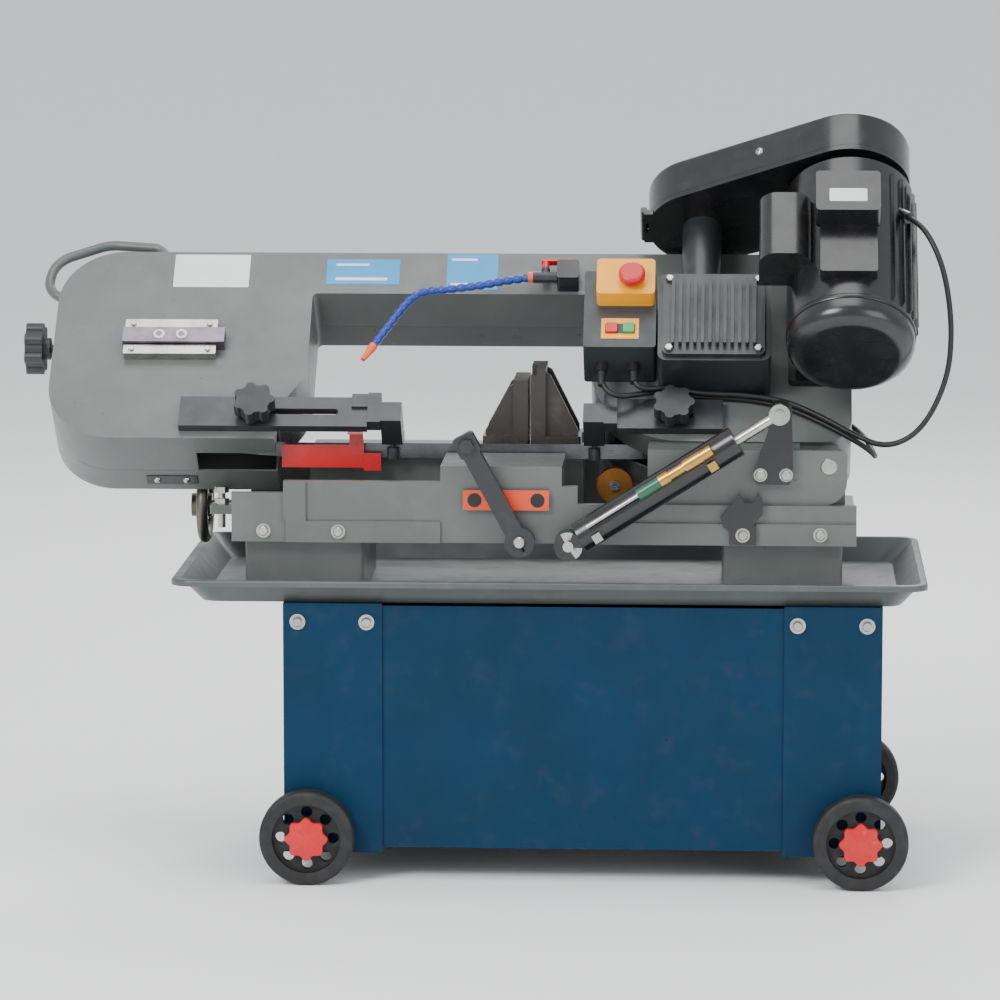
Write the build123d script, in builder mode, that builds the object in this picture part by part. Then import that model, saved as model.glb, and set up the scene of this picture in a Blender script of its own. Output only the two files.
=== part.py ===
"""Horizontal band saw on a wheeled stand: one STEP file for each sub-part.

Millimetres, +Z up. The origin is on the floor under the middle of the machine. +X runs along the
saw from the idler wheel to the drive wheel, and -Y is the operator's side.
"""
import os
from math import atan2, cos, degrees, hypot, pi, radians, sin, sqrt, tan

from build123d import *

os.makedirs("parts", exist_ok=True)

# ---- driving dimensions ----
WHEEL_RADIUS = 130.0            # band wheels
BLADE_WIDTH = 20.0
BLADE_THICKNESS = 0.9
IDLER_X = -414.6                # band wheel centres, on one line
DRIVE_X = 358.0
HEAD_TILT = 45.0                # the wheel plane leans back by this much
HEAD_Y = 94.0                   # the line of wheel centres
HEAD_Z = 654.0
FACE = 57.0                     # front face of the bow, from the wheels' mid-plane
REAR = -15.0                    # rear edge of the bow casting
HEAD_TOP = 162.0                # top and bottom of the bow, from the wheel centres
HEAD_BOTTOM = -165.0
BEAM_BOTTOM = 89.0
PIVOT_X = 484.0                 # the head swings about a shaft along Y
PIVOT_Z = 554.0
TABLE_Z = 553.5
BED_BOTTOM = 450.0
TRAY_FLOOR = 375.0
BLADE_Y = -5.0                  # the upright cutting run of the blade
BLADE_Z = 555.0
LEG_LEFT = (-240.0, -108.0)
LEG_RIGHT = (426.0, 556.0)
LEG_DEPTH = 200.0               # half the stand's depth
CASTOR_RADIUS = 63.5
CASTOR_XS = (-207.0, 529.0)
RUNNING_FIT = 0.1
CLEAR = 0.4                     # gap between pieces that pass each other

# Reference planes of the head: HEAD looks at its face, HEAD_UP along the wheels' line of
# symmetry and HEAD_SIDE along the machine.
OUT = (0, -sin(radians(HEAD_TILT)), cos(radians(HEAD_TILT)))
UP = (0, cos(radians(HEAD_TILT)), sin(radians(HEAD_TILT)))
HEAD = Plane(origin=(0, HEAD_Y, HEAD_Z), x_dir=(1, 0, 0), z_dir=OUT)
HEAD_UP = Plane(origin=(0, HEAD_Y, HEAD_Z), x_dir=(1, 0, 0), z_dir=UP)
HEAD_SIDE = Plane(origin=(0, HEAD_Y, HEAD_Z), x_dir=UP, z_dir=(1, 0, 0))
FRONT = Plane.XZ                # offset(d) is at Y = -d


def save(piece, label):
    piece.label = label
    export_step(piece, f"parts/{label}.step")


def save_group(pieces, label):
    save(Compound(children=pieces), label)


def at(plane, x, y, z=0.0):
    """The same plane with its origin moved by x, y and z of its own axes."""
    return Plane(origin=plane.from_local_coords((x, y, z)), x_dir=plane.x_dir, z_dir=plane.z_dir)


def screw(plane, across=13.0, head=6.0, shank=0.0, shank_length=0.0, washer=0.0, domed=False):
    """A screw whose head stands on the plane and whose shank goes down behind it."""
    washer_height = 1.6 if washer else 0.0
    with BuildPart() as made:
        if washer:
            with BuildSketch(plane):
                Circle(washer / 2)
            extrude(amount=washer_height)
        with BuildSketch(plane.offset(washer_height)):
            if domed:
                Circle(across / 2)
            else:
                RegularPolygon(across / sqrt(3), 6)
        extrude(amount=head)
        top = made.faces().sort_by(Axis(plane.origin, plane.z_dir))[-1]
        chamfer(top.edges(), 0.18 * head)
        if shank:
            with BuildSketch(plane):
                Circle(shank / 2)
            extrude(amount=-shank_length)
    return made.part


def block(plane, x_range, y_range, z_range, radius=0.0):
    """A box given by its ranges along the plane's own axes, with round corners if asked."""
    with BuildPart() as made:
        middle_x = (x_range[0] + x_range[1]) / 2
        middle_y = (y_range[0] + y_range[1]) / 2
        with BuildSketch(plane.offset(z_range[0])):
            with Locations((middle_x, middle_y)):
                if radius:
                    RectangleRounded(x_range[1] - x_range[0], y_range[1] - y_range[0], radius)
                else:
                    Rectangle(x_range[1] - x_range[0], y_range[1] - y_range[0])
        extrude(amount=z_range[1] - z_range[0])
    return made.part


def rod(plane, radius, length, bore=0.0):
    """A round bar that stands on the plane's origin."""
    with BuildPart() as made:
        with BuildSketch(plane):
            Circle(radius)
            if bore:
                Circle(bore, mode=Mode.SUBTRACT)
        extrude(amount=length)
    return made.part


def lobed_knob(plane, radius, lobes, height):
    """A hand knob with rounded lobes, standing on the plane's origin."""
    with BuildPart() as made:
        with BuildSketch(plane):
            Circle(0.82 * radius)
            with PolarLocations(0.76 * radius, lobes):
                Circle(0.24 * radius)
        extrude(amount=height)
        with BuildSketch(plane):
            Circle(0.42 * radius)
        extrude(amount=-0.35 * height)
    return made.part


# ---- stand ----
SHEET = 3.0
LEG_TOP = 372.0
LEG_BOTTOM = 38.0
AXLE_RADIUS = 8.0
STAND_SCREW_Z = 350.0
STAND_SCREW_XS = (-220.5, -128.6, 443.7, 535.6)


def leg(outer_x, inner_x):
    """One end of the stand: a folded sheet, open towards the middle."""
    inward = 1 if inner_x > outer_x else -1
    wall = inward * SHEET
    with BuildPart() as made:
        with BuildSketch(Plane.XY.offset(LEG_BOTTOM)):
            with BuildLine():
                Polyline((inner_x, -LEG_DEPTH), (outer_x, -LEG_DEPTH), (outer_x, LEG_DEPTH),
                         (inner_x, LEG_DEPTH), (inner_x, LEG_DEPTH - SHEET),
                         (outer_x + wall, LEG_DEPTH - SHEET), (outer_x + wall, SHEET - LEG_DEPTH),
                         (inner_x, SHEET - LEG_DEPTH), close=True)
            make_face()
        extrude(amount=LEG_TOP - LEG_BOTTOM)
        axle_x = CASTOR_XS[0] if inward > 0 else CASTOR_XS[1]
        with BuildSketch(FRONT.offset(LEG_DEPTH)):
            with Locations((axle_x, CASTOR_RADIUS)):
                Circle(AXLE_RADIUS + RUNNING_FIT)
            with Locations(*[(x, STAND_SCREW_Z) for x in STAND_SCREW_XS]):
                Circle(4.0)
        extrude(amount=-2 * LEG_DEPTH, mode=Mode.SUBTRACT)
    # The top is closed by a folded shelf that the tray stands on.
    shelf_x = sorted((outer_x, inner_x))
    shelf = block(Plane.XY, shelf_x, (-LEG_DEPTH, LEG_DEPTH), (LEG_TOP, TRAY_FLOOR))
    return made.part + shelf


def stand_panel(side):
    """The sheet between the legs; side is -1 for the front one and 1 for the rear one."""
    lap = 18.0
    x_range = (LEG_LEFT[1] - lap - 12, LEG_RIGHT[0] + lap + 12)
    outer_y = side * (LEG_DEPTH - SHEET)
    inner_y = outer_y - side * SHEET
    low_y, high_y = sorted((outer_y, inner_y))
    with BuildPart() as made:
        with BuildSketch(FRONT.offset(-high_y)):
            with Locations(((x_range[0] + x_range[1]) / 2, (45 + LEG_TOP) / 2)):
                Rectangle(x_range[1] - x_range[0], LEG_TOP - 45)
            with Locations((STAND_SCREW_XS[1], STAND_SCREW_Z), (STAND_SCREW_XS[2], STAND_SCREW_Z)):
                Circle(4.0, mode=Mode.SUBTRACT)
        extrude(amount=high_y - low_y)
    flange_y = sorted((inner_y, inner_y - side * 15))
    bottom = block(Plane.XY, (x_range[0] + 20, x_range[1] - 20), flange_y, (45, 45 + SHEET))
    return made.part + bottom


save_group([leg(*LEG_LEFT), leg(LEG_RIGHT[1], LEG_RIGHT[0])], "stand_legs")
save_group([stand_panel(-1), stand_panel(1)], "stand_panels")


# ---- castor wheels ----
CASTOR_WIDTH = 30.0
CASTOR_Y = 225.0                # mid-plane of each wheel
SPOKE_HOLES = 8


def castor(side):
    """One moulded wheel on its axle end: a thick tyre, a thin web with openings and a hub."""
    mid_plane = FRONT.offset(-side * CASTOR_Y)
    with BuildPart() as made:
        with BuildSketch(mid_plane.offset(-CASTOR_WIDTH / 2)):
            Circle(CASTOR_RADIUS)
            Circle(46.0, mode=Mode.SUBTRACT)
        extrude(amount=CASTOR_WIDTH)
        fillet(made.edges().filter_by(GeomType.CIRCLE).sort_by(SortBy.RADIUS)[-2:], 6)
        with BuildSketch(mid_plane.offset(-5)):
            Circle(46.0)
            with PolarLocations(35.0, SPOKE_HOLES):
                Circle(7.5, mode=Mode.SUBTRACT)
        extrude(amount=10)
        with BuildSketch(mid_plane.offset(-CASTOR_WIDTH / 2)):
            Circle(22.0)
        extrude(amount=CASTOR_WIDTH)
        with BuildSketch(mid_plane.offset(-CASTOR_WIDTH / 2)):
            Circle(AXLE_RADIUS)
        extrude(amount=CASTOR_WIDTH, mode=Mode.SUBTRACT)
    return made.part


def castor_pair(x, label):
    axle_length = 2 * CASTOR_Y + CASTOR_WIDTH
    axle = rod(FRONT.offset(-axle_length / 2), AXLE_RADIUS, axle_length)
    place = Location((x, 0, CASTOR_RADIUS))
    save_group([place * castor(-1), place * castor(1), place * axle], label)


castor_pair(CASTOR_XS[0], "left_wheels")
castor_pair(CASTOR_XS[1], "right_wheels")

# ---- chip tray ----
TRAY_X = (-389.0, 615.0)
TRAY_HALF_DEPTH = 225.0
RIM_Z = 408.0
TRAY_SHEET = 2.5
TRAY_MIDDLE = (TRAY_X[0] + TRAY_X[1]) / 2
TRAY_LENGTH = TRAY_X[1] - TRAY_X[0]
WALL_LEAN = 27.0                # each wall leans out by this much
LIP = 9.0


def tray_pan(inset, bottom, top):
    """The tray's pan as a solid: a loft between two rounded rectangles."""
    with BuildPart() as pan:
        for z, lean in ((bottom, WALL_LEAN), (top, 0.0)):
            with BuildSketch(Plane.XY.offset(z)):
                with Locations((TRAY_MIDDLE + 2, 0)):
                    RectangleRounded(TRAY_LENGTH - 2 * (LIP + lean + inset),
                                     2 * (TRAY_HALF_DEPTH - LIP - lean - inset), 24 - inset)
        loft(ruled=True)
    return pan.part


with BuildPart() as chip_tray:
    add(tray_pan(0, TRAY_FLOOR, RIM_Z))
    with BuildSketch(Plane.XY.offset(RIM_Z - 8)):
        with Locations((TRAY_MIDDLE, 0)):
            RectangleRounded(TRAY_LENGTH, 2 * TRAY_HALF_DEPTH, 30)
    extrude(amount=8)
    rim_edges = chip_tray.edges().group_by(Axis.Z)[-1]
    fillet(rim_edges, 3.5)
    add(tray_pan(TRAY_SHEET, TRAY_FLOOR + TRAY_SHEET, RIM_Z), mode=Mode.SUBTRACT)
save(chip_tray.part, "chip_tray")

# ---- pedestals between tray and bed ----
PEDESTALS = ((-297.0, -138.0), (342.0, 503.0))
PEDESTAL_FRONT = -128.0
PEDESTAL_REAR = 105.0
CASTING = 10.0


def pedestal(x_range):
    bottom = TRAY_FLOOR + TRAY_SHEET
    outer = block(Plane.XY, x_range, (PEDESTAL_FRONT, PEDESTAL_REAR), (bottom, BED_BOTTOM), 6)
    inner = block(Plane.XY, (x_range[0] + CASTING, x_range[1] - CASTING),
                  (PEDESTAL_FRONT + CASTING, PEDESTAL_REAR - CASTING), (bottom, BED_BOTTOM))
    return outer - inner


save_group([pedestal(x_range) for x_range in PEDESTALS], "pedestals")

# ---- bed ----
BED_X = (-313.0, 521.0)
BED_FRONT = -150.0
BED_REAR = 120.0
WALL = 12.0
LOW_TOP = 480.0                 # top of the base ring, under the wheel housings
STEP_TOP = 503.0                # top of the front wall right of the cut
FRONT_BLOCK_X = (-33.0, 129.0)
FRONT_BLOCK_REAR = BLADE_Y - 8
TABLE_FRONT = BLADE_Y + 20
TABLE_X = (-222.0, 152.0)
TABLE_THICK = 12.0
SCREW_Y = 75.0                  # vise lead screw, along X
SCREW_Z = 467.0
SCREW_RADIUS = 8.0
KEY_SLOT = 20.0                 # slot in the table for the movable jaw's keel
STOP_ROD_X = 74.0               # work stop rod, along Y
STOP_ROD_Z = 456.0
STOP_ROD_RADIUS = 8.0
CYLINDER_FOOT = (139.4, 454.0)  # lower eye of the feed cylinder
LUG_Y = (-124.0, -92.0)         # the lug that carries the head's pivot shaft
LUG_RADIUS = 22.0
PIVOT_RADIUS = 11.0
BED_SCREW_Z = 465.0
BED_SCREW_XS = (-270.0, -169.6, 370.0, 473.0)
DOWN_STOP = (-341.0, -8.0)       # the screw that the lowered head rests on


def bed_wall(points, y_front, y_rear):
    with BuildPart() as made:
        with BuildSketch(FRONT.offset(-y_front)):
            with BuildLine():
                Polyline(*points, close=True)
            make_face()
        extrude(amount=y_front - y_rear)
    return made.part


with BuildPart() as bed:
    # Base ring.
    add(block(Plane.XY, BED_X, (BED_FRONT, BED_REAR), (BED_BOTTOM, LOW_TOP), 4))
    add(block(Plane.XY, (BED_X[0] + WALL, BED_X[1] - WALL), (BED_FRONT + WALL, BED_REAR - WALL),
              (BED_BOTTOM, LOW_TOP)), mode=Mode.SUBTRACT)
    # The front wall steps up towards the cut and down again towards the pivot.
    add(bed_wall([(BED_X[0], BED_BOTTOM), (BED_X[0], 516), (-243, 516), (-243, 532), (-33, 532),
                  (-33, TABLE_Z), (129, TABLE_Z), (129, 527), (150, 527), (150, STEP_TOP),
                  (BED_X[1], STEP_TOP), (BED_X[1], BED_BOTTOM)], BED_FRONT, BED_FRONT + WALL))
    # Raised front band at the right, and ribs that frame the panels at the left.
    add(block(FRONT, (167, BED_X[1]), (BED_BOTTOM, 479), (-BED_FRONT, 6 - BED_FRONT)))
    add(block(FRONT, (-240, FRONT_BLOCK_X[0]), (BED_BOTTOM, 479), (-BED_FRONT, 4 - BED_FRONT)))
    add(block(FRONT, (-243, -213), (479, 532), (-BED_FRONT, 4 - BED_FRONT)))
    # Rear wall and the table it carries.
    add(block(FRONT, (BED_X[0], 230), (BED_BOTTOM, TABLE_Z - TABLE_THICK), (-BED_REAR, WALL - BED_REAR)))
    add(block(Plane.XY, TABLE_X, (TABLE_FRONT, BED_REAR), (TABLE_Z - TABLE_THICK, TABLE_Z)))
    # Front block, hollow from below, on the off-cut side of the blade.
    add(block(Plane.XY, FRONT_BLOCK_X, (BED_FRONT, FRONT_BLOCK_REAR), (BED_BOTTOM, TABLE_Z)))
    add(block(Plane.XY, (FRONT_BLOCK_X[0] + WALL, FRONT_BLOCK_X[1] - WALL),
              (BED_FRONT + WALL, FRONT_BLOCK_REAR - WALL), (BED_BOTTOM, TABLE_Z - WALL)),
        mode=Mode.SUBTRACT)
    # Cross ribs: under the table's ends and at the far end of the lead screw.
    for rib_x in (TABLE_X[0], 96, 140):
        add(block(Plane.XY, (rib_x, rib_x + WALL), (TABLE_FRONT, BED_REAR),
                  (BED_BOTTOM, TABLE_Z - TABLE_THICK)))
    add(block(Plane.XY, TABLE_X, (TABLE_FRONT, TABLE_FRONT + WALL),
              (BED_BOTTOM, TABLE_Z - TABLE_THICK)))
    # Pad and lug for the pivot shaft.
    add(block(Plane.XY, (440, BED_X[1]), (BED_FRONT + WALL, -60), (BED_BOTTOM, LOW_TOP)))
    add(block(FRONT, (PIVOT_X - LUG_RADIUS, PIVOT_X + LUG_RADIUS), (LOW_TOP, PIVOT_Z),
              (-LUG_Y[1], -LUG_Y[0])))
    with BuildSketch(at(FRONT, PIVOT_X, PIVOT_Z, -LUG_Y[1])):
        Circle(LUG_RADIUS)
    extrude(amount=LUG_Y[1] - LUG_Y[0])
    # Bosses for the cylinder's lower eye and for the work stop rod.
    for boss_x, boss_z in (CYLINDER_FOOT, (STOP_ROD_X, STOP_ROD_Z)):
        with BuildSketch(at(FRONT, boss_x, boss_z, -BED_FRONT - WALL)):
            Circle(17)
        extrude(amount=WALL + 8)
    with BuildSketch(at(FRONT, STOP_ROD_X, STOP_ROD_Z, -FRONT_BLOCK_REAR)):
        Circle(15)
    extrude(amount=WALL)
    # Lug for the down-stop screw.
    add(block(Plane.XY, (DOWN_STOP[0] - 15, BED_X[0]), (DOWN_STOP[1] - 15, DOWN_STOP[1] + 15),
              (468, LOW_TOP), 3))
    # Bores.
    with BuildSketch(at(FRONT, PIVOT_X, PIVOT_Z, -LUG_Y[0])):
        Circle(PIVOT_RADIUS)
    extrude(amount=LUG_Y[0] - LUG_Y[1], mode=Mode.SUBTRACT)
    with BuildSketch(at(FRONT, *CYLINDER_FOOT, 8 - BED_FRONT)):
        Circle(7)
    extrude(amount=-20, mode=Mode.SUBTRACT)
    with BuildSketch(at(FRONT, STOP_ROD_X, STOP_ROD_Z, 8 - BED_FRONT)):
        Circle(STOP_ROD_RADIUS + RUNNING_FIT)
    extrude(amount=-(8 + FRONT_BLOCK_REAR - BED_FRONT), mode=Mode.SUBTRACT)
    with BuildSketch(at(Plane.YZ, SCREW_Y, SCREW_Z, BED_X[0])):
        Circle(SCREW_RADIUS + RUNNING_FIT)
    extrude(amount=108 - BED_X[0], mode=Mode.SUBTRACT)
    with BuildSketch(at(Plane.XY, *DOWN_STOP, 468)):
        Circle(5)
    extrude(amount=20, mode=Mode.SUBTRACT)
    with BuildSketch(FRONT.offset(-BED_FRONT + 6)):
        with Locations(*[(x, BED_SCREW_Z) for x in BED_SCREW_XS]):
            Circle(4)
    extrude(amount=-(WALL + 6), mode=Mode.SUBTRACT)
    # The slot that the movable jaw's keel runs in.
    key_slot = block(Plane.XY, (TABLE_X[0] + 16, 90),
                     (SCREW_Y - KEY_SLOT / 2, SCREW_Y + KEY_SLOT / 2), (530, TABLE_Z))
    add(key_slot, mode=Mode.SUBTRACT)
save(bed.part, "bed")

# ---- fasteners of the stand and bed ----
stand_screws = []
for x in STAND_SCREW_XS:
    for side in (-1, 1):
        seat = Plane(origin=(x, side * LEG_DEPTH, STAND_SCREW_Z), x_dir=(1, 0, 0),
                     z_dir=(0, side, 0))
        stand_screws.append(screw(seat, shank=8, shank_length=5, washer=21, domed=True))
for x, proud in zip(BED_SCREW_XS, (0, 4, 12, 6)):
    # Each seat stands proud of the wall by the band, and by the bracket that the third one holds.
    seat = at(FRONT, x, BED_SCREW_Z, -BED_FRONT + proud)
    stand_screws.append(screw(seat, shank=8, shank_length=WALL + proud, washer=19, domed=True))
with BuildPart() as down_stop:
    with BuildSketch(at(Plane.XY, *DOWN_STOP, 448)):
        Circle(5)
    extrude(amount=56)
    for nut_bottom in (LOW_TOP, 496):
        with BuildSketch(at(Plane.XY, *DOWN_STOP, nut_bottom)):
            RegularPolygon(9.8, 6)
        extrude(amount=8)
stand_screws.append(down_stop.part)
save_group(stand_screws, "stand_bolts")

# ---- vise ----
JAW_Y = (24.0, 118.0)
FIXED_JAW_X = 80.0
MOVABLE_JAW_X = 76.0
JAW_GAP = 0.3


def jaw_body(face_x, away, height, foot):
    """An upright jaw plate with a foot and two gussets; away is the side it is braced on."""
    plate_x = sorted((face_x, face_x + away * 20))
    foot_x = sorted((face_x, face_x + away * foot))
    with BuildPart() as made:
        add(block(Plane.XY, foot_x, JAW_Y, (TABLE_Z + JAW_GAP, TABLE_Z + 18), 3))
        add(block(Plane.XY, plate_x, JAW_Y, (TABLE_Z + 10, height)))
        for gusset_y in (JAW_Y[0] + 8, JAW_Y[1] - 20):
            with BuildSketch(FRONT.offset(-gusset_y)):
                with BuildLine():
                    Polyline((face_x + away * 15, TABLE_Z + 12), (face_x + away * (foot - 4), TABLE_Z + 12),
                             (face_x + away * (foot - 4), TABLE_Z + 26),
                             (face_x + away * 26, height - 10), (face_x + away * 15, height - 4),
                             close=True)
                make_face()
            extrude(amount=-12)
    return made.part


with BuildPart() as movable_jaw:
    add(jaw_body(MOVABLE_JAW_X, -1, 649, 62))
    add(block(Plane.XY, (24, 66), (SCREW_Y - 9.5, SCREW_Y + 9.5), (SCREW_Z + 12, TABLE_Z + 12)))
    add(block(Plane.XY, (24, 66), (SCREW_Y - 16, SCREW_Y + 16), (452, 540), 3))
    with BuildSketch(at(Plane.YZ, SCREW_Y, SCREW_Z, 20)):
        Circle(SCREW_RADIUS + RUNNING_FIT)
    extrude(amount=50, mode=Mode.SUBTRACT)
save(movable_jaw.part, "movable_jaw")

with BuildPart() as fixed_jaw:
    add(jaw_body(FIXED_JAW_X, 1, 665, 68))
    add(block(Plane.XY, (FIXED_JAW_X - 0.1, FIXED_JAW_X + 8), (JAW_Y[0], JAW_Y[0] + 36), (655, 665)),
        mode=Mode.SUBTRACT)
    # It stands on the table without the gap that the sliding jaw needs.
    add(block(Plane.XY, (FIXED_JAW_X, FIXED_JAW_X + 68), JAW_Y, (TABLE_Z, TABLE_Z + 2), 3))
    with Locations(at(Plane.XY, FIXED_JAW_X + 50, (JAW_Y[0] + JAW_Y[1]) / 2, TABLE_Z + 18)):
        Cylinder(9, 12, align=(Align.CENTER, Align.CENTER, Align.MIN))
save(fixed_jaw.part, "fixed_jaw")

SCREW_END = 118.0
HANDWHEEL_X = -391.0
with BuildPart() as vise_screw:
    with BuildSketch(at(Plane.YZ, SCREW_Y, SCREW_Z, HANDWHEEL_X + 6)):
        Circle(SCREW_RADIUS)
    extrude(amount=SCREW_END - HANDWHEEL_X - 6)
    for collar_x in (BED_X[0] - 8.4, SCREW_END - 9.6):
        with BuildSketch(at(Plane.YZ, SCREW_Y, SCREW_Z, collar_x)):
            Circle(13)
        extrude(amount=8)
save(vise_screw.part, "vise_screw")

HANDWHEEL_RADIUS = 52.0
with BuildPart() as handwheel:
    with BuildSketch(Plane.XZ):
        with Locations((HANDWHEEL_X + 18, HANDWHEEL_RADIUS - 8)):
            Circle(8)
    revolve(axis=Axis.X)
    with BuildSketch(Plane.YZ.offset(HANDWHEEL_X + 10)):
        Circle(20)
        for angle in (90, 210, 330):
            with Locations(Location((0, 0), angle)):
                with Locations((24, 0)):
                    Rectangle(38, 13)
    extrude(amount=12)
    with BuildSketch(Plane.YZ.offset(HANDWHEEL_X)):
        Circle(16)
    extrude(amount=28)
    with BuildSketch(Plane.YZ.offset(HANDWHEEL_X + 6)):
        Circle(SCREW_RADIUS)
    extrude(amount=30, mode=Mode.SUBTRACT)
save(Location((0, SCREW_Y, SCREW_Z)) * handwheel.part, "handwheel")

# ---- work stop ----
STOP_ROD_FRONT = -190.0
STOP_ARM_Y = (-185.0, -165.0)
STOP_TOP = (4.0, 585.0)
with BuildPart() as work_stop_rod:
    with BuildSketch(at(FRONT, STOP_ROD_X, STOP_ROD_Z)):
        Circle(STOP_ROD_RADIUS)
    extrude(amount=-STOP_ROD_FRONT)
    chamfer(work_stop_rod.edges().sort_by(Axis.Y)[0], 1.5)
save(work_stop_rod.part, "work_stop_rod")

arm_reach = hypot(STOP_TOP[0] - STOP_ROD_X, STOP_TOP[1] - STOP_ROD_Z)
arm_angle = degrees(atan2(STOP_TOP[1] - STOP_ROD_Z, STOP_TOP[0] - STOP_ROD_X))
arm_plane = Plane(origin=(STOP_ROD_X, 0, STOP_ROD_Z), z_dir=(0, -1, 0),
                  x_dir=(cos(radians(arm_angle)), 0, sin(radians(arm_angle))))
with BuildPart() as work_stop_arm:
    with BuildSketch(arm_plane.offset(-STOP_ARM_Y[1])):
        Circle(20)
        with Locations((arm_reach / 2, 0)):
            Rectangle(arm_reach, 24)
        with Locations((arm_reach, 0)):
            RectangleRounded(30, 30, 5)
    extrude(amount=STOP_ARM_Y[1] - STOP_ARM_Y[0])
    # The clamp is split below its bore and drawn together by a screw.
    with BuildSketch(arm_plane.offset(-STOP_ARM_Y[1])):
        Circle(STOP_ROD_RADIUS + RUNNING_FIT)
        with Locations((-14, 0)):
            Rectangle(16, 3)
        with Locations((arm_reach, 0)):
            Circle(6)
    extrude(amount=STOP_ARM_Y[1] - STOP_ARM_Y[0], mode=Mode.SUBTRACT)
    with Locations(arm_plane.offset(-STOP_ARM_Y[0]).location * Location((arm_reach, 0, 0))):
        Cylinder(6, 70, align=(Align.CENTER, Align.CENTER, Align.MAX))
    with BuildSketch(at(arm_plane, arm_reach, 0, -STOP_ARM_Y[0])):
        RegularPolygon(10, 6)
    extrude(amount=8)
save(work_stop_arm.part, "work_stop_arm")

# ---- bracket with two prongs on the bed's front ----
FORK_Y = -156.0
FORK_THICK = 6.0
with BuildPart() as fork_bracket:
    with BuildSketch(FRONT.offset(-FORK_Y)):
        with BuildLine():
            Polyline((345, 474), (380, 474), (396, 492), (396, 512), (390, 522), (383, 508),
                     (372, 508), (364, 522), (357, 508), (340, 488), close=True)
        make_face()
        with Locations((BED_SCREW_XS[2], BED_SCREW_Z)):
            Rectangle(36, 26)
            Circle(4, mode=Mode.SUBTRACT)
    extrude(amount=FORK_THICK)
save(fork_bracket.part, "fork_bracket")

# ---- bow: left wheel housing, beam, right wheel housing and pivot arm in one casting ----
LEFT_END = -578.0
RIGHT_END = 516.0
BEAM_X = (-226.0, 162.0)
BOW_WALL = 7.0
FACE_WALL = 8.0
CHANNEL = 19.0                  # the blade returns in a channel behind the beam's web
LOWER_ROUND = 126.0             # lower left corner of the right housing
ARM_PLATE_Y = (-140.0, -126.0)
ARM_PLATE_X = (243.0, 508.0)
ARM_PLATE_Z = (503.0, 576.0)
GUIDE_Z = -128.0                # middle of both guide arms
LEFT_KNOB_X = -291.0
RIGHT_KNOB_X = 276.0
WORM_X = 311.0
WORM_Q = 105.0
MOTOR_X = 512.0
MOTOR_Q = 192.0
MOTOR_RADIUS = 85.5
HINGE_Z = 169.0                 # rear cover hinge, along X
HINGE_XS = (-380.0, 280.0)


def bow_outline(inset):
    """The outline of the whole bow seen square to its face, moved in by inset."""
    left, right = LEFT_END + inset, RIGHT_END - inset
    top, bottom, beam = HEAD_TOP - inset, HEAD_BOTTOM + inset, BEAM_BOTTOM + inset
    beam_left, beam_right = BEAM_X[0] - inset, BEAM_X[1] + inset
    FilletPolyline((left, top), (right, top), (right, bottom), (beam_right, bottom),
                   (beam_right, beam), (beam_left, beam), (beam_left, -55), (-264 - inset, -115),
                   (-264 - inset, bottom), (left, bottom),
                   radius=[90 - inset, 40 - inset, 40 - inset, LOWER_ROUND - inset, 8 + inset,
                           8 + inset, 90, 10, 0, 90 - inset], close=True)


def bow_solid(inset, q_low, q_high):
    with BuildPart() as made:
        with BuildSketch(HEAD.offset(q_low)):
            with BuildLine():
                bow_outline(inset)
            make_face()
        extrude(amount=q_high - q_low)
    return made.part


def head_block(x_range, z_range, q_range, radius=0.0):
    return block(HEAD, x_range, z_range, q_range, radius)


def head_rod(x, z, q_low, q_high, radius):
    """A round bar square to the head's face."""
    return rod(at(HEAD, x, z, q_low), radius, q_high - q_low)


def upright_rod(x, q, z_low, z_high, radius):
    """A round bar along the head's UP direction."""
    return rod(at(HEAD_UP, x, -q, z_low), radius, z_high - z_low)


def knuckle(x, length, radius):
    """A hinge knuckle of the rear cover, along X."""
    return rod(at(HEAD_SIDE, HINGE_Z, REAR, x), radius, length)


with BuildPart() as bow_frame:
    add(bow_solid(0, REAR, FACE))
    # Hollow both housings, but keep the beam's web thick and the wall between them open.
    housing_hollow = bow_solid(BOW_WALL, REAR, FACE - FACE_WALL)
    beam_zone = head_block((BEAM_X[0] - BOW_WALL, BEAM_X[1] + BOW_WALL), (-200, 200),
                           (CHANNEL, FACE))
    add(housing_hollow - beam_zone, mode=Mode.SUBTRACT)
    # Openings for the blade and for the guard that follows the left guide arm.
    add(head_block((-276, -255), (-172, -116), (REAR, 24)), mode=Mode.SUBTRACT)
    add(head_block((-372, -262), (-172, -157), (REAR, 24)), mode=Mode.SUBTRACT)
    add(head_block((160, 262), (-156, -114), (REAR, 15)), mode=Mode.SUBTRACT)
    # Slot for the tension slide, bore for the drive shaft, holes for the lock knobs.
    add(head_block((-453, -374), (-13, 13), (FACE - 20, FACE)), mode=Mode.SUBTRACT)
    add(head_rod(DRIVE_X, 0, FACE - 20, FACE, 18), mode=Mode.SUBTRACT)
    for knob_x in (LEFT_KNOB_X, RIGHT_KNOB_X):
        add(head_rod(knob_x, GUIDE_Z, FACE - 20, FACE, 4.6), mode=Mode.SUBTRACT)
    # Hole for the tension screw in the left wall.
    add(rod(at(HEAD_SIDE, 0, 42, LEFT_END - 5), 6.1, 20), mode=Mode.SUBTRACT)
    # Hinge knuckles along the top.
    for hinge_x in HINGE_XS:
        for knuckle_x in (hinge_x - 36, hinge_x + 16):
            add(knuckle(knuckle_x, 20, 6))
            add(head_block((knuckle_x, knuckle_x + 20), (HEAD_TOP - 2, HINGE_Z), (REAR, REAR + 6)))
        add(knuckle(hinge_x - 40, 80, 3.1), mode=Mode.SUBTRACT)
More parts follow.
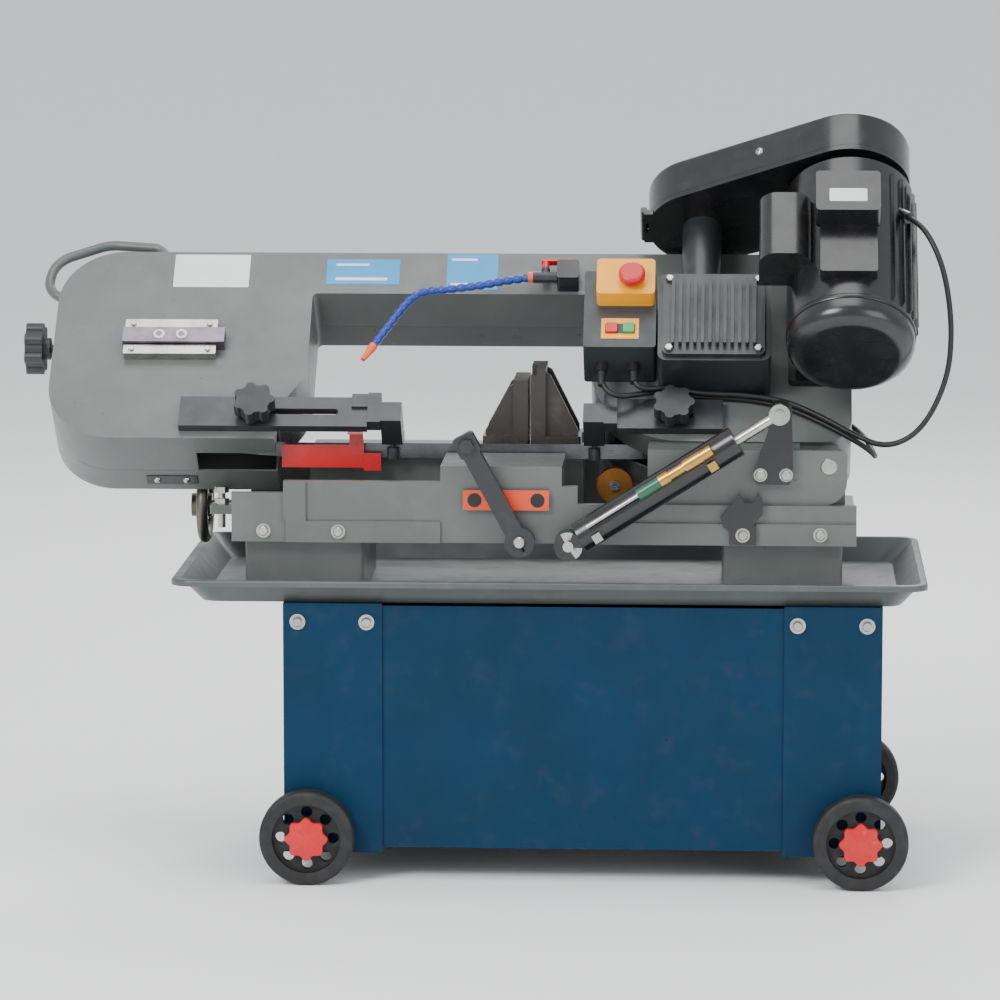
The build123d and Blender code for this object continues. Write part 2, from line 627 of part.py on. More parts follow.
with BuildPart() as pivot_arm:
    with BuildSketch(FRONT.offset(-ARM_PLATE_Y[1])):
        with BuildLine():
            FilletPolyline((ARM_PLATE_X[0], ARM_PLATE_Z[1]), (ARM_PLATE_X[1], ARM_PLATE_Z[1]),
                           (ARM_PLATE_X[1], ARM_PLATE_Z[0]), (ARM_PLATE_X[0], ARM_PLATE_Z[0]),
                           radius=[4, 8, 30, 4], close=True)
        make_face()
    extrude(amount=ARM_PLATE_Y[1] - ARM_PLATE_Y[0])
    add(block(Plane.XY, (ARM_PLATE_X[0], 446), (ARM_PLATE_Y[0], -54), (566, 576)))
    for gusset_x in (ARM_PLATE_X[0], 340, 436):
        with BuildSketch(Plane.YZ.offset(gusset_x)):
            with BuildLine():
                Polyline((-130, 506), (-130, 570), (-58, 570), (-34, 546), close=True)
            make_face()
        extrude(amount=10)
    add(block(Plane.XY, (440, PIVOT_X), (-90, -34), (552, 572)))
    add(rod(at(FRONT, PIVOT_X, PIVOT_Z, -8), 20, 98))
pivot_bore = rod(at(FRONT, PIVOT_X, PIVOT_Z, -20), PIVOT_RADIUS + RUNNING_FIT, 180)
# Where the barrel leaves the casting it is cut off square to the casting's rear edge.
behind_bow = head_block((400, 540), (-200, 0), (-120, REAR))
save(bow_frame.part + pivot_arm.part - pivot_bore - behind_bow, "bow_frame")

with BuildPart() as pivot_shaft:
    with BuildSketch(at(FRONT, PIVOT_X, PIVOT_Z, 20)):
        Circle(PIVOT_RADIUS)
    extrude(amount=-ARM_PLATE_Y[0] - 19)
    chamfer(pivot_shaft.edges(), 1)
CYLINDER_PIN = 7.0
with BuildPart() as cylinder_stud:
    with BuildSketch(at(FRONT, *CYLINDER_FOOT, 8 - BED_FRONT)):
        Circle(CYLINDER_PIN + 5)
    extrude(amount=7)
    with BuildSketch(at(FRONT, *CYLINDER_FOOT, -BED_FRONT - WALL)):
        Circle(CYLINDER_PIN)
    extrude(amount=WALL + 56)
save_group([pivot_shaft.part, cylinder_stud.part], "pivot_pins")

# ---- rear cover: one pan over both wheels and the beam ----
COVER_DEPTH = 43.0
COVER_SHEET = 2.5
cover_back = REAR - COVER_DEPTH
with BuildPart() as rear_cover:
    add(bow_solid(0, cover_back, REAR - CLEAR))
    add(bow_solid(COVER_SHEET, cover_back + COVER_SHEET, REAR), mode=Mode.SUBTRACT)
    for hinge_x in HINGE_XS:
        add(knuckle(hinge_x - 15.5, 31, 6))
        add(head_block((hinge_x - 15.5, hinge_x + 15.5), (HEAD_TOP - 2, HINGE_Z),
                       (REAR - 6, REAR - CLEAR)))
        add(knuckle(hinge_x - 40, 80, 3), mode=Mode.SUBTRACT)
        add(knuckle(hinge_x - 36, 71.5, 3))
save(rear_cover.part, "rear_cover")

# ---- lifting handle, a bent bar over the left shoulder ----
with BuildPart() as lift_handle:
    with BuildLine(HEAD.offset(30)) as bar_path:
        FilletPolyline((-437, HEAD_TOP), (-444, 190), (-520, 196), (-594, 165), (-600, 112),
                       (LEFT_END, 100), radius=[16, 60, 45, 30])
    with BuildSketch(Plane(origin=bar_path.line @ 0, z_dir=bar_path.line % 0)):
        Circle(7)
    sweep()
save(lift_handle.part - bow_frame.part, "lift_handle")

# ---- band wheels ----
WHEEL_HALF_WIDTH = 13.0
IDLER_AXLE = 10.0
DRIVE_SHAFT = 14.0


def band_wheel(center_x, bore):
    """A spoked cast wheel with a flange behind the blade."""
    with BuildPart() as made:
        with BuildSketch(at(HEAD, center_x, 0, -WHEEL_HALF_WIDTH)):
            Circle(WHEEL_RADIUS)
            Circle(WHEEL_RADIUS - 12, mode=Mode.SUBTRACT)
        extrude(amount=2 * WHEEL_HALF_WIDTH)
        with BuildSketch(at(HEAD, center_x, 0, -WHEEL_HALF_WIDTH - 3)):
            Circle(WHEEL_RADIUS + 3)
            Circle(WHEEL_RADIUS - 12, mode=Mode.SUBTRACT)
        extrude(amount=5.5)
        with BuildSketch(at(HEAD, center_x, 0, -5)):
            Circle(WHEEL_RADIUS - 12)
            with PolarLocations(74, 5):
                Circle(24, mode=Mode.SUBTRACT)
        extrude(amount=10)
        with BuildSketch(at(HEAD, center_x, 0, -16)):
            Circle(30)
        extrude(amount=34)
        with BuildSketch(at(HEAD, center_x, 0, -20)):
            Circle(bore)
        extrude(amount=50, mode=Mode.SUBTRACT)
    return made.part


save(band_wheel(IDLER_X, IDLER_AXLE + RUNNING_FIT), "idler_wheel")
save(band_wheel(DRIVE_X, DRIVE_SHAFT), "drive_wheel")

# ---- tension slide with its two bars, and the screw that draws it ----
SLIDE_HALF = 13.0
with BuildPart() as tension_slide:
    add(head_block((-481, -341), (-SLIDE_HALF + CLEAR, SLIDE_HALF - CLEAR), (FACE + CLEAR, 76)))
    add(head_block((-446, -384), (-12, 12), (28, 70)))
    add(head_rod(IDLER_X, 0, -15, 30, IDLER_AXLE))
save(tension_slide.part, "tension_slide")
slide_bars = []
for side in (-1, 1):
    z_range = sorted((side * (SLIDE_HALF + 1), side * (SLIDE_HALF + 17)))
    slide_bars.append(head_block((-479, -352), z_range, (FACE, FACE + 14), 1.5))
    for screw_x in (-468, -363):
        slide_bars.append(screw(at(HEAD, screw_x, side * (SLIDE_HALF + 9), FACE + 14), 8, 3,
                                domed=True))
save_group(slide_bars, "slide_bars")

SCREW_Q = 42.0
with BuildPart() as tension_knob:
    add(lobed_knob(Plane(origin=HEAD.from_local_coords((-592, 0, SCREW_Q)), x_dir=UP,
                         z_dir=(-1, 0, 0)), 36, 7, 24))
    add(rod(at(HEAD_SIDE, 0, SCREW_Q, -592), 6, 592 - 447))
save(tension_knob.part, "tension_knob")

# ---- saw blade: flat round the wheels, quarter-turned in between to stand upright in the cut ----
BAND = WHEEL_RADIUS + 0.3
UPRIGHT_X = (-217.0, 215.0)
HALF_BLADE = BLADE_WIDTH / 2


def blade_section(x, upright):
    """The blade's section at x; upright goes from 0 on a wheel to 1 in the cut."""
    level = Vector(*HEAD.from_local_coords((x, -BAND - BLADE_THICKNESS / 2, 0)))
    cut = Vector(x, BLADE_Y, BLADE_Z)
    smooth = upright * upright * (3 - 2 * upright)
    lean = radians(HEAD_TILT) * (1 - smooth)
    middle = level * (1 - smooth) + cut * smooth
    across = Vector(0, -sin(lean), cos(lean))
    return Plane(origin=middle, x_dir=across, z_dir=(1, 0, 0))


def twisted_run(wheel_x, cut_x):
    steps = 8
    with BuildPart() as made:
        for step in range(steps + 1):
            share = step / steps
            x = wheel_x + (cut_x - wheel_x) * share
            with BuildSketch(blade_section(x, share)):
                Rectangle(BLADE_WIDTH, BLADE_THICKNESS)
        loft(ruled=True)
    return made.part


with BuildPart() as band:
    with BuildSketch(HEAD.offset(-HALF_BLADE)):
        with Locations(((IDLER_X + DRIVE_X) / 2, 0)):
            SlotCenterToCenter(DRIVE_X - IDLER_X, 2 * (BAND + BLADE_THICKNESS))
            SlotCenterToCenter(DRIVE_X - IDLER_X, 2 * BAND, mode=Mode.SUBTRACT)
        with Locations(((IDLER_X + DRIVE_X) / 2, -BAND)):
            Rectangle(DRIVE_X - IDLER_X, 20, mode=Mode.SUBTRACT)
    extrude(amount=BLADE_WIDTH)
upright_run = block(Plane.XY, UPRIGHT_X, (BLADE_Y - BLADE_THICKNESS / 2, BLADE_Y + BLADE_THICKNESS / 2),
                    (BLADE_Z - HALF_BLADE, BLADE_Z + HALF_BLADE))
saw_blade = band.part + twisted_run(IDLER_X, UPRIGHT_X[0]) + twisted_run(DRIVE_X, UPRIGHT_X[1])
save(saw_blade + upright_run, "saw_blade")

# ---- drive: gearbox, worm, pulleys and belt ----
GEARBOX_X = (254.0, 406.0)
GEARBOX_Z = (-90.0, 60.0)
GEARBOX_FRONT = 138.0
GEARBOX_WALL = 9.0
BELT_BASE_Z = 168.0
BELT_TOP_Z = 236.0
PULLEY_Z = 182.0
PULLEY_HEIGHT = 25.0
DRIVEN_RADIUS = 62.0
MOTOR_PULLEY_RADIUS = 36.0
GROOVE = 10.0                   # depth of the pulleys' groove
WORM_RADIUS = 16.0
WORM_SHAFT = 10.0
MOTOR_SHAFT = 9.5

with BuildPart() as gearbox_housing:
    add(head_block(GEARBOX_X, GEARBOX_Z, (FACE, GEARBOX_FRONT), 12))
    add(head_block((GEARBOX_X[0] + GEARBOX_WALL, GEARBOX_X[1] - GEARBOX_WALL),
                   (GEARBOX_Z[0] + GEARBOX_WALL, GEARBOX_Z[1] - GEARBOX_WALL),
                   (FACE + GEARBOX_WALL, GEARBOX_FRONT), 6), mode=Mode.SUBTRACT)
    # The worm's tube carries the belt guard.
    add(upright_rod(WORM_X, WORM_Q, GEARBOX_Z[1] - 4, BELT_BASE_Z, 27))
    add(upright_rod(WORM_X, WORM_Q, GEARBOX_Z[1] - 10, BELT_BASE_Z + 1, 20), mode=Mode.SUBTRACT)
    add(upright_rod(WORM_X, WORM_Q, GEARBOX_Z[1] - 9, GEARBOX_Z[1], 27))
    add(upright_rod(WORM_X, WORM_Q, BELT_BASE_Z - 14, BELT_BASE_Z, 27))
    add(upright_rod(WORM_X, WORM_Q, GEARBOX_Z[0] + 3, BELT_BASE_Z + 1, WORM_SHAFT + RUNNING_FIT),
        mode=Mode.SUBTRACT)
    add(head_rod(DRIVE_X, 0, FACE - 1, FACE + GEARBOX_WALL, DRIVE_SHAFT + RUNNING_FIT),
        mode=Mode.SUBTRACT)
save(gearbox_housing.part, "gearbox_housing")

COVER_X = (260.0, 398.0)
COVER_Z = (-84.0, 54.0)
with BuildPart() as gearbox_cover:
    add(head_block(COVER_X, COVER_Z, (GEARBOX_FRONT, GEARBOX_FRONT + 6), 9))
    with BuildSketch(HEAD.offset(GEARBOX_FRONT + 6)):
        with Locations(((COVER_X[0] + COVER_X[1]) / 2, (COVER_Z[0] + COVER_Z[1]) / 2)):
            with GridLocations(10, 1, 12, 1):
                RectangleRounded(4.5, 112, 2)
    extrude(amount=9)
save(gearbox_cover.part, "gearbox_cover")

with BuildPart() as drive_shaft:
    add(head_rod(DRIVE_X, 0, -18, 126, DRIVE_SHAFT))
    add(head_rod(DRIVE_X, 0, WORM_Q - 12, WORM_Q + 12, DRIVE_X - WORM_X - WORM_RADIUS - 1))
save(drive_shaft.part, "drive_shaft")


def grooved_pulley(x, q, radius, bore):
    """A vee-belt pulley on an axis along the head's UP direction."""
    with BuildPart() as made:
        with BuildSketch(Plane(origin=HEAD.from_local_coords((x, PULLEY_Z, q)), x_dir=(1, 0, 0),
                               z_dir=OUT)):
            with BuildLine():
                Polyline((bore, 0), (radius, 0), (radius, 5), (radius - GROOVE, 9),
                         (radius - GROOVE, 16), (radius, 20), (radius, PULLEY_HEIGHT),
                         (bore, PULLEY_HEIGHT), close=True)
            make_face()
        revolve(axis=Axis(HEAD.from_local_coords((x, 0, q)), UP))
    return made.part


worm_shaft = upright_rod(WORM_X, WORM_Q, GEARBOX_Z[0] + 4, PULLEY_Z + PULLEY_HEIGHT + 6, WORM_SHAFT)
worm_shaft += upright_rod(WORM_X, WORM_Q, -28, 28, WORM_RADIUS)
save_group([worm_shaft, grooved_pulley(WORM_X, WORM_Q, DRIVEN_RADIUS, WORM_SHAFT)], "worm_shaft")
motor_shaft = upright_rod(MOTOR_X, MOTOR_Q, -100, PULLEY_Z + PULLEY_HEIGHT + 6, MOTOR_SHAFT)
motor_shaft += upright_rod(MOTOR_X, MOTOR_Q, -60, 90, 48)
motor_shaft += upright_rod(MOTOR_X, MOTOR_Q, -98, -84, 60)
save_group([motor_shaft, grooved_pulley(MOTOR_X, MOTOR_Q, MOTOR_PULLEY_RADIUS, MOTOR_SHAFT)],
           "motor_pulley")


def two_circle_face(z, radius_worm, radius_motor):
    """The outline of a belt or a guard round both pulleys."""
    with BuildSketch(HEAD_UP.offset(z)) as outline:
        with Locations((WORM_X, -WORM_Q)):
            Circle(radius_worm)
        with Locations((MOTOR_X, -MOTOR_Q)):
            Circle(radius_motor)
        make_hull()
    return outline.sketch


def two_circle_solid(z_low, z_high, radius_worm, radius_motor):
    return extrude(two_circle_face(z_low, radius_worm, radius_motor), amount=z_high - z_low,
                   dir=UP)


belt_low = PULLEY_Z + 6.5
belt_high = PULLEY_Z + PULLEY_HEIGHT - 6.5
v_belt = two_circle_solid(belt_low, belt_high, DRIVEN_RADIUS - 2, MOTOR_PULLEY_RADIUS - 2)
v_belt -= two_circle_solid(belt_low - 1, belt_high + 1, DRIVEN_RADIUS - GROOVE + CLEAR,
                           MOTOR_PULLEY_RADIUS - GROOVE + CLEAR)
# The belt's flanks slope, so its edges are trimmed clear of the pulleys' flanks.
for turn_x, turn_q, turn_radius in ((WORM_X, WORM_Q, DRIVEN_RADIUS),
                                    (MOTOR_X, MOTOR_Q, MOTOR_PULLEY_RADIUS)):
    for low, high in ((belt_low - 1, PULLEY_Z + 9.3), (PULLEY_Z + 15.7, belt_high + 1)):
        v_belt -= upright_rod(turn_x, turn_q, low, high, turn_radius - 3.2)
save(v_belt, "v_belt")

GUARD_WORM = 74.0
GUARD_MOTOR = 82.0
base = two_circle_solid(BELT_BASE_Z, BELT_BASE_Z + 8, GUARD_WORM, GUARD_MOTOR)
base -= upright_rod(WORM_X, WORM_Q, BELT_BASE_Z - 1, BELT_BASE_Z + 9, 14)
base -= upright_rod(MOTOR_X, MOTOR_Q, BELT_BASE_Z - 1, BELT_BASE_Z + 9, 30)
# The lid turns on a pin at the cover's left end: two barrels on the base, one on the lid.
LID_PIN_X = WORM_X - GUARD_WORM - 6
LID_PIN_Z = BELT_BASE_Z + 8.2
LID_BARREL = 5.0
LID_PIN = 2.5
for q_low, q_high in ((WORM_Q - 30, WORM_Q - 10.4), (WORM_Q + 10.4, WORM_Q + 30)):
    base += head_rod(LID_PIN_X, LID_PIN_Z, q_low, q_high, LID_BARREL)
    base += head_block((LID_PIN_X, LID_PIN_X + 15), (BELT_BASE_Z, BELT_BASE_Z + 8), (q_low, q_high))
base += head_rod(LID_PIN_X, LID_PIN_Z, WORM_Q - 29, WORM_Q + 29, LID_PIN)
save(base, "belt_cover_base")
lid = two_circle_solid(BELT_BASE_Z + 8 + CLEAR, BELT_TOP_Z, GUARD_WORM, GUARD_MOTOR)
lid = fillet(lid.faces().sort_by(Axis(HEAD.origin, UP))[-1].edges(), 7)
lid -= two_circle_solid(BELT_BASE_Z, BELT_TOP_Z - 3, GUARD_WORM - 3, GUARD_MOTOR - 3)
lid += head_block((LID_PIN_X, LID_PIN_X + 8.5), (BELT_BASE_Z + 8 + CLEAR, LID_PIN_Z + LID_BARREL),
                  (WORM_Q - 10, WORM_Q + 10))
lid += head_rod(LID_PIN_X, LID_PIN_Z, WORM_Q - 10, WORM_Q + 10, LID_BARREL)
lid -= head_rod(LID_PIN_X, LID_PIN_Z, WORM_Q - 30, WORM_Q + 30, LID_PIN + RUNNING_FIT)
save(lid, "belt_cover_lid")

# ---- motor, its boxes and its mount ----
MOTOR_LOW = -126.0
MOTOR_HIGH = 160.0
motor_frame = upright_rod(MOTOR_X, MOTOR_Q, -92, MOTOR_HIGH, MOTOR_RADIUS)
motor_frame = chamfer(motor_frame.edges().sort_by(Axis(HEAD.origin, UP))[-1], 10)
motor_frame -= upright_rod(MOTOR_X, MOTOR_Q, -83, MOTOR_HIGH - 12, 62)
motor_frame -= upright_rod(MOTOR_X, MOTOR_Q, -84, MOTOR_HIGH + 1, MOTOR_SHAFT + RUNNING_FIT)
motor_frame -= upright_rod(MOTOR_X, MOTOR_Q, -93, -82, 62)
fan_cover = upright_rod(MOTOR_X, MOTOR_Q, MOTOR_LOW, -92, MOTOR_RADIUS)
fan_cover = fillet(fan_cover.edges().sort_by(Axis(HEAD.origin, UP))[0], 22)
fan_cover -= upright_rod(MOTOR_X, MOTOR_Q, MOTOR_LOW + 3, -92, MOTOR_RADIUS - 22)
motor_space = upright_rod(MOTOR_X, MOTOR_Q, MOTOR_LOW - 1, MOTOR_HIGH + 1, MOTOR_RADIUS)
# The cable gland leans out and down from the motor's side.
MOTOR_GLAND = (574.0, 86.0, 239.0)
GLAND_WAY = (0.55, -0.72, 0.42)
GLAND_LENGTH = 28.0


def along_gland(distance):
    share = distance / hypot(*GLAND_WAY)
    return tuple(start + share * way for start, way in zip(MOTOR_GLAND, GLAND_WAY))


gland_way = HEAD.from_local_coords(along_gland(1)) - HEAD.from_local_coords(MOTOR_GLAND)
gland_plane = Plane(origin=HEAD.from_local_coords(MOTOR_GLAND), z_dir=gland_way)
motor_gland = rod(gland_plane, 8, GLAND_LENGTH) - motor_space
save_group([motor_frame, fan_cover, motor_gland], "motor")

terminal_box = head_block((470, 546), (-59, 100), (245, 290), 4)
terminal_box += head_block((464, 550), (21, 89), (284, 320), 6)
capacitor_cover = head_block((389, 459), (-20, 86), (211, 279))
capacitor_cover = fillet(capacitor_cover.edges().filter_by(Axis(HEAD.origin, UP)).sort_by(
    Axis(HEAD.origin, OUT))[-2:], 24)
save_group([terminal_box - motor_space, capacitor_cover - motor_space], "motor_boxes")
motor_mount = head_block((430, 514), (-70, 110), (FACE, FACE + 12), 8)
motor_mount += head_block((440, 580), (-60, 100), (FACE + 12, MOTOR_Q - 50))
motor_mount -= head_block((456, 600), (-44, 84), (FACE + 12, MOTOR_Q - 70))
save(motor_mount - motor_space, "motor_mount")

# ---- switch box, emergency stop and buttons ----
SWITCH_X = (153.0, 251.0)
SWITCH_Z = (-64.0, 68.0)
SWITCH_FRONT = 133.0
ESTOP = (218.0, 31.0)
BUTTON_Z = -33.0
START_X = 214.0
STOP_X = 191.0
PANEL_TOP = 160.0
switch_shell = head_block(SWITCH_X, SWITCH_Z, (FACE, SWITCH_FRONT), 5)
switch_shell -= head_block((SWITCH_X[0] + 3, SWITCH_X[1] - 3), (SWITCH_Z[0] + 3, SWITCH_Z[1] - 3),
                           (FACE - 1, SWITCH_FRONT - 3), 3)
for button_x in (START_X, STOP_X):
    switch_shell -= head_block((button_x - 8, button_x + 8), (BUTTON_Z - 8, BUTTON_Z + 8),
                               (SWITCH_FRONT - 10, SWITCH_FRONT + 1))
estop_housing = head_block((170, 249), (7, 68), (SWITCH_FRONT, PANEL_TOP), 6)
estop_housing -= head_rod(*ESTOP, SWITCH_FRONT, PANEL_TOP + 1, 9)
GLAND_XS = (178.0, 221.0)
GLAND_Q = 95.0
glands = [upright_rod(x, GLAND_Q, SWITCH_Z[0] - 14, SWITCH_Z[0], 8) for x in GLAND_XS]
save_group([switch_shell, estop_housing] + glands, "switch_box")
emergency_stop = head_rod(*ESTOP, SWITCH_FRONT + 8, PANEL_TOP + 9, 8.6)
emergency_stop += head_rod(*ESTOP, PANEL_TOP + 8, PANEL_TOP + 19, 18)
emergency_stop = fillet(emergency_stop.edges().sort_by(Axis(HEAD.origin, OUT))[-1], 5)
save(emergency_stop, "emergency_stop")
for button_x, label in ((START_X, "start_button"), (STOP_X, "stop_button")):
    button = head_block((button_x - 7.6, button_x + 7.6), (BUTTON_Z - 7.6, BUTTON_Z + 7.6),
                        (SWITCH_FRONT - 6, SWITCH_FRONT + 5), 1.5)
    save(button, label)

# ---- guide arms, their lock knobs and the blocks that hold the blade upright ----
ARM_LOW = FACE + 0.3
ARM_HIGH = ARM_LOW + 12
ARM_HALF = 25.0
KNOB_RADIUS = 28.5
BEARING_RADIUS = 8.0
BLOCK_BOTTOM = BLADE_Z + HALF_BLADE + 1
BLOCK_TOP = BLOCK_BOTTOM + 14


def guide_arm(x_range, slot_range):
    arm = head_block(x_range, (GUIDE_Z - ARM_HALF, GUIDE_Z + ARM_HALF), (ARM_LOW, ARM_HIGH))
    arm -= head_block(slot_range, (GUIDE_Z - 5, GUIDE_Z + 5), (ARM_LOW - 1, ARM_HIGH + 1), 4.9)
    return arm


def lock_knob(x):
    knob = lobed_knob(at(HEAD, x, GUIDE_Z, ARM_HIGH + 8), KNOB_RADIUS, 7, 20)
    knob += head_rod(x, GUIDE_Z, FACE - 18, ARM_HIGH + 10, 4.5)
    return knob + head_rod(x, GUIDE_Z, ARM_HIGH + 0.1, ARM_HIGH + 2, 14)


def guide_block(arm_end, toward_cut):
    """The bracket on an arm's end and the bearing block over the blade."""
    plate_x = sorted((arm_end, arm_end + toward_cut * 18))
    bridge_x = sorted((arm_end + toward_cut * 18, arm_end + toward_cut * 46))
    pieces = head_block(plate_x, (GUIDE_Z - 22, GUIDE_Z + 28), (ARM_LOW, 76))
    pieces += head_block(bridge_x, (GUIDE_Z - 20, GUIDE_Z + 12), (23, 76))
    pieces += block(Plane.XY, bridge_x, (-27, 13), (BLOCK_BOTTOM, BLOCK_TOP))
    middle = (bridge_x[0] + bridge_x[1]) / 2
    bearings = []
    for side in (-1, 1):
        pin_y = BLADE_Y + side * (BLADE_THICKNESS / 2 + CLEAR + BEARING_RADIUS)
        pin = at(Plane.XY, middle, pin_y, BLADE_Z - HALF_BLADE - 1)
        pieces -= rod(at(Plane.XY, middle, pin_y, BLOCK_BOTTOM - 1), 3, 80)
        bearing = rod(at(Plane.XY, middle, pin_y, BLADE_Z - HALF_BLADE), BEARING_RADIUS, 15)
        bearing += rod(pin, 3, BLOCK_TOP - BLADE_Z + HALF_BLADE + 1)
        bearings.append(bearing)
    return [pieces] + bearings


LEFT_ARM_X = (-394.0, -138.0)
RIGHT_ARM_X = (200.0, 342.0)
left_guide_arm = guide_arm(LEFT_ARM_X, (-300, -178))
left_guide_arm += head_block((-160, LEFT_ARM_X[1]), (GUIDE_Z + 6, GUIDE_Z + ARM_HALF + 3),
                             (ARM_LOW, ARM_HIGH + 4))
save(left_guide_arm, "left_guide_arm")
save(guide_arm(RIGHT_ARM_X, (268, 303)), "right_guide_arm")
save(lock_knob(LEFT_KNOB_X), "left_guide_knob")
save(lock_knob(RIGHT_KNOB_X), "right_guide_knob")
save_group(guide_block(LEFT_ARM_X[1] + 0.1, 1), "left_guide_block")

BRUSH = (196.0, 509.0)
BRUSH_RADIUS = 25.0
right_pieces = guide_block(RIGHT_ARM_X[0] - 0.1, -1)
with BuildPart() as brush_strut:
    with BuildSketch(FRONT.offset(-12)):
        with BuildLine():
            Polyline((174, BLOCK_TOP), (181, BLOCK_TOP), (181, 535), (205, 520), (205, 500),
                     (174, 500), close=True)
        make_face()
    extrude(amount=7)
strut_bore = rod(at(FRONT, *BRUSH, -20), 4.1, 30)
brush_link = block(Plane.XY, (150, 181), (5, 12), (BLOCK_BOTTOM, BLOCK_TOP))
right_pieces[0] = right_pieces[0] + brush_link + brush_strut.part - strut_bore
save_group(right_pieces, "right_guide_block")

with BuildPart() as wire_brush:
    with BuildSketch(at(FRONT, *BRUSH, -1)):
        Circle(BRUSH_RADIUS)
    extrude(amount=12)
    with BuildSketch(at(FRONT, *BRUSH, -4.6)):
        Circle(8)
    extrude(amount=18)
    with BuildSketch(at(FRONT, *BRUSH, -11)):
        Circle(4)
    extrude(amount=20)
save(wire_brush.part, "wire_brush")

# The guard is a bent sheet in front of the blade, hung from the left arm by a tab.
GUARD_Y = -21.0
with BuildPart() as blade_guard:
    with BuildSketch(FRONT.offset(-GUARD_Y - 2)):
        with BuildLine():
            Polyline((-257, 533), (-145, 533), (-145, 529), (-122, 529), (-122, 553), (-145, 553),
                     (-145, 564), (-147, 584), (-165, 584), (-165, 564), (-257, 564), close=True)
        make_face()
    extrude(amount=2)
    add(block(Plane.XY, (-165, -147), (-57, GUARD_Y + 2), (583, 585)))
save(blade_guard.part, "blade_guard")

# ---- coolant: block, valve lever, jointed hose with nozzle; tank and pump in the stand ----
HOSE_RADIUS = 6.0
BLOCK_Q = 78.0
coolant_block = head_block((112, 142), (94, 126), (FACE, 88), 4)
coolant_block += rod(Plane(origin=HEAD.from_local_coords((112, 102, BLOCK_Q)), x_dir=UP,
                           z_dir=(-1, 0, 0)), 8, 33)
coolant_block += upright_rod(96, BLOCK_Q, 102, 116, 6)
save(coolant_block, "coolant_block")
valve_lever = upright_rod(96, BLOCK_Q, 116.3, 128, 5)
valve_lever += head_block((90, 134), (127.5, 131), (BLOCK_Q - 5, BLOCK_Q + 5))
save(valve_lever, "valve_lever")

HOSE_ROUTE = [(79, 102), (47, 97), (9.5, 87), (-40, 79), (-69, 76), (-86, 65), (-99, 46),
              (-112, 22), (-127, -5), (-135, -20)]
NOZZLE_END = (-149, -46)


def route_radii(points, largest=400.0):
    """For each inner point, 0.45 of its shorter run divided by the tangent of half the turn."""
    radii = []
    for before, here, after in zip(points, points[1:], points[2:]):
        run_in = Vector(*here) - Vector(*before)
        run_out = Vector(*after) - Vector(*here)
        turn = run_in.get_angle(run_out)
        radii.append(min(largest, 0.45 * min(run_in.length, run_out.length) / tan(radians(turn / 2))))
    return radii


def tube(points, radius, label):
    """A round tube along straight runs joined by arcs, with its smallest radius printed."""
    radii = route_radii(points)
    with BuildPart() as made:
        with BuildLine() as path:
            FilletPolyline(*points, radius=radii)
        start = path.wires()[0]
        with BuildSketch(Plane(origin=start @ 0, z_dir=start % 0)):
            Circle(radius)
        sweep()
    length = path.wires()[0].length
    expected = pi * radius * radius * length
    print(label, "length", round(length), "radii", [round(r) for r in radii],
          "volume ratio", round(made.part.volume / expected, 4))
    return made.part


hose_points = [HEAD.from_local_coords((x, z, BLOCK_Q)) for x, z in HOSE_ROUTE]
coolant_hose = tube(hose_points, HOSE_RADIUS, "coolant hose")
hose_end = Vector(*hose_points[-1])
nozzle_way = HEAD.from_local_coords((*NOZZLE_END, BLOCK_Q)) - hose_end
with BuildPart() as nozzle:
    with BuildSketch(Plane(origin=hose_end, z_dir=nozzle_way)):
        Circle(HOSE_RADIUS + 1)
    with BuildSketch(Plane(origin=hose_end + nozzle_way, z_dir=nozzle_way)):
        Circle(3)
    loft()
save_group([coolant_hose, nozzle.part], "coolant_hose")

TANK_X = (20.0, 300.0)
tank = block(Plane.XY, TANK_X, (-150, 150), (48.5, 190), 12)
tank -= block(Plane.XY, (TANK_X[0] + 3, TANK_X[1] - 3), (-147, 147), (51.5, 187), 9)
pump = rod(Plane(origin=(200, 60, 190), z_dir=(0, 0, 1)), 55, 12)
pump += rod(Plane(origin=(200, 60, 202), z_dir=(0, 0, 1)), 42, 105)
save_group([tank, pump], "coolant_tank")

# ---- feed cylinder between bed and pivot arm ----
ROD_EYE = (417.5, 630.0)
CYLINDER_Y = -185.0
CYLINDER_RADIUS = 21.0
BODY_LENGTH = 262.0
reach = hypot(ROD_EYE[0] - CYLINDER_FOOT[0], ROD_EYE[1] - CYLINDER_FOOT[1])
lean_x = (ROD_EYE[0] - CYLINDER_FOOT[0]) / reach
lean_z = (ROD_EYE[1] - CYLINDER_FOOT[1]) / reach
# ALONG has its local x along the cylinder, y square to it in the upright plane, z to the front.
ALONG = Plane(origin=(CYLINDER_FOOT[0], CYLINDER_Y, CYLINDER_FOOT[1]), z_dir=(0, -1, 0),
              x_dir=(lean_x, 0, lean_z))
ACROSS_CYLINDER = Plane(origin=ALONG.origin, z_dir=(lean_x, 0, lean_z), x_dir=(0, -1, 0))
BORE_START = 24.0
cylinder = rod(ACROSS_CYLINDER.offset(18), CYLINDER_RADIUS, BODY_LENGTH - 18)
cylinder += rod(ALONG.offset(-CYLINDER_RADIUS + 2), 19, 2 * CYLINDER_RADIUS - 4)
cylinder -= rod(ACROSS_CYLINDER.offset(BORE_START), 17, BODY_LENGTH - BORE_START - 12)
cylinder -= rod(ACROSS_CYLINDER.offset(BORE_START), 7.1, BODY_LENGTH)
cylinder -= rod(ALONG.offset(-30), CYLINDER_PIN + RUNNING_FIT, 60)
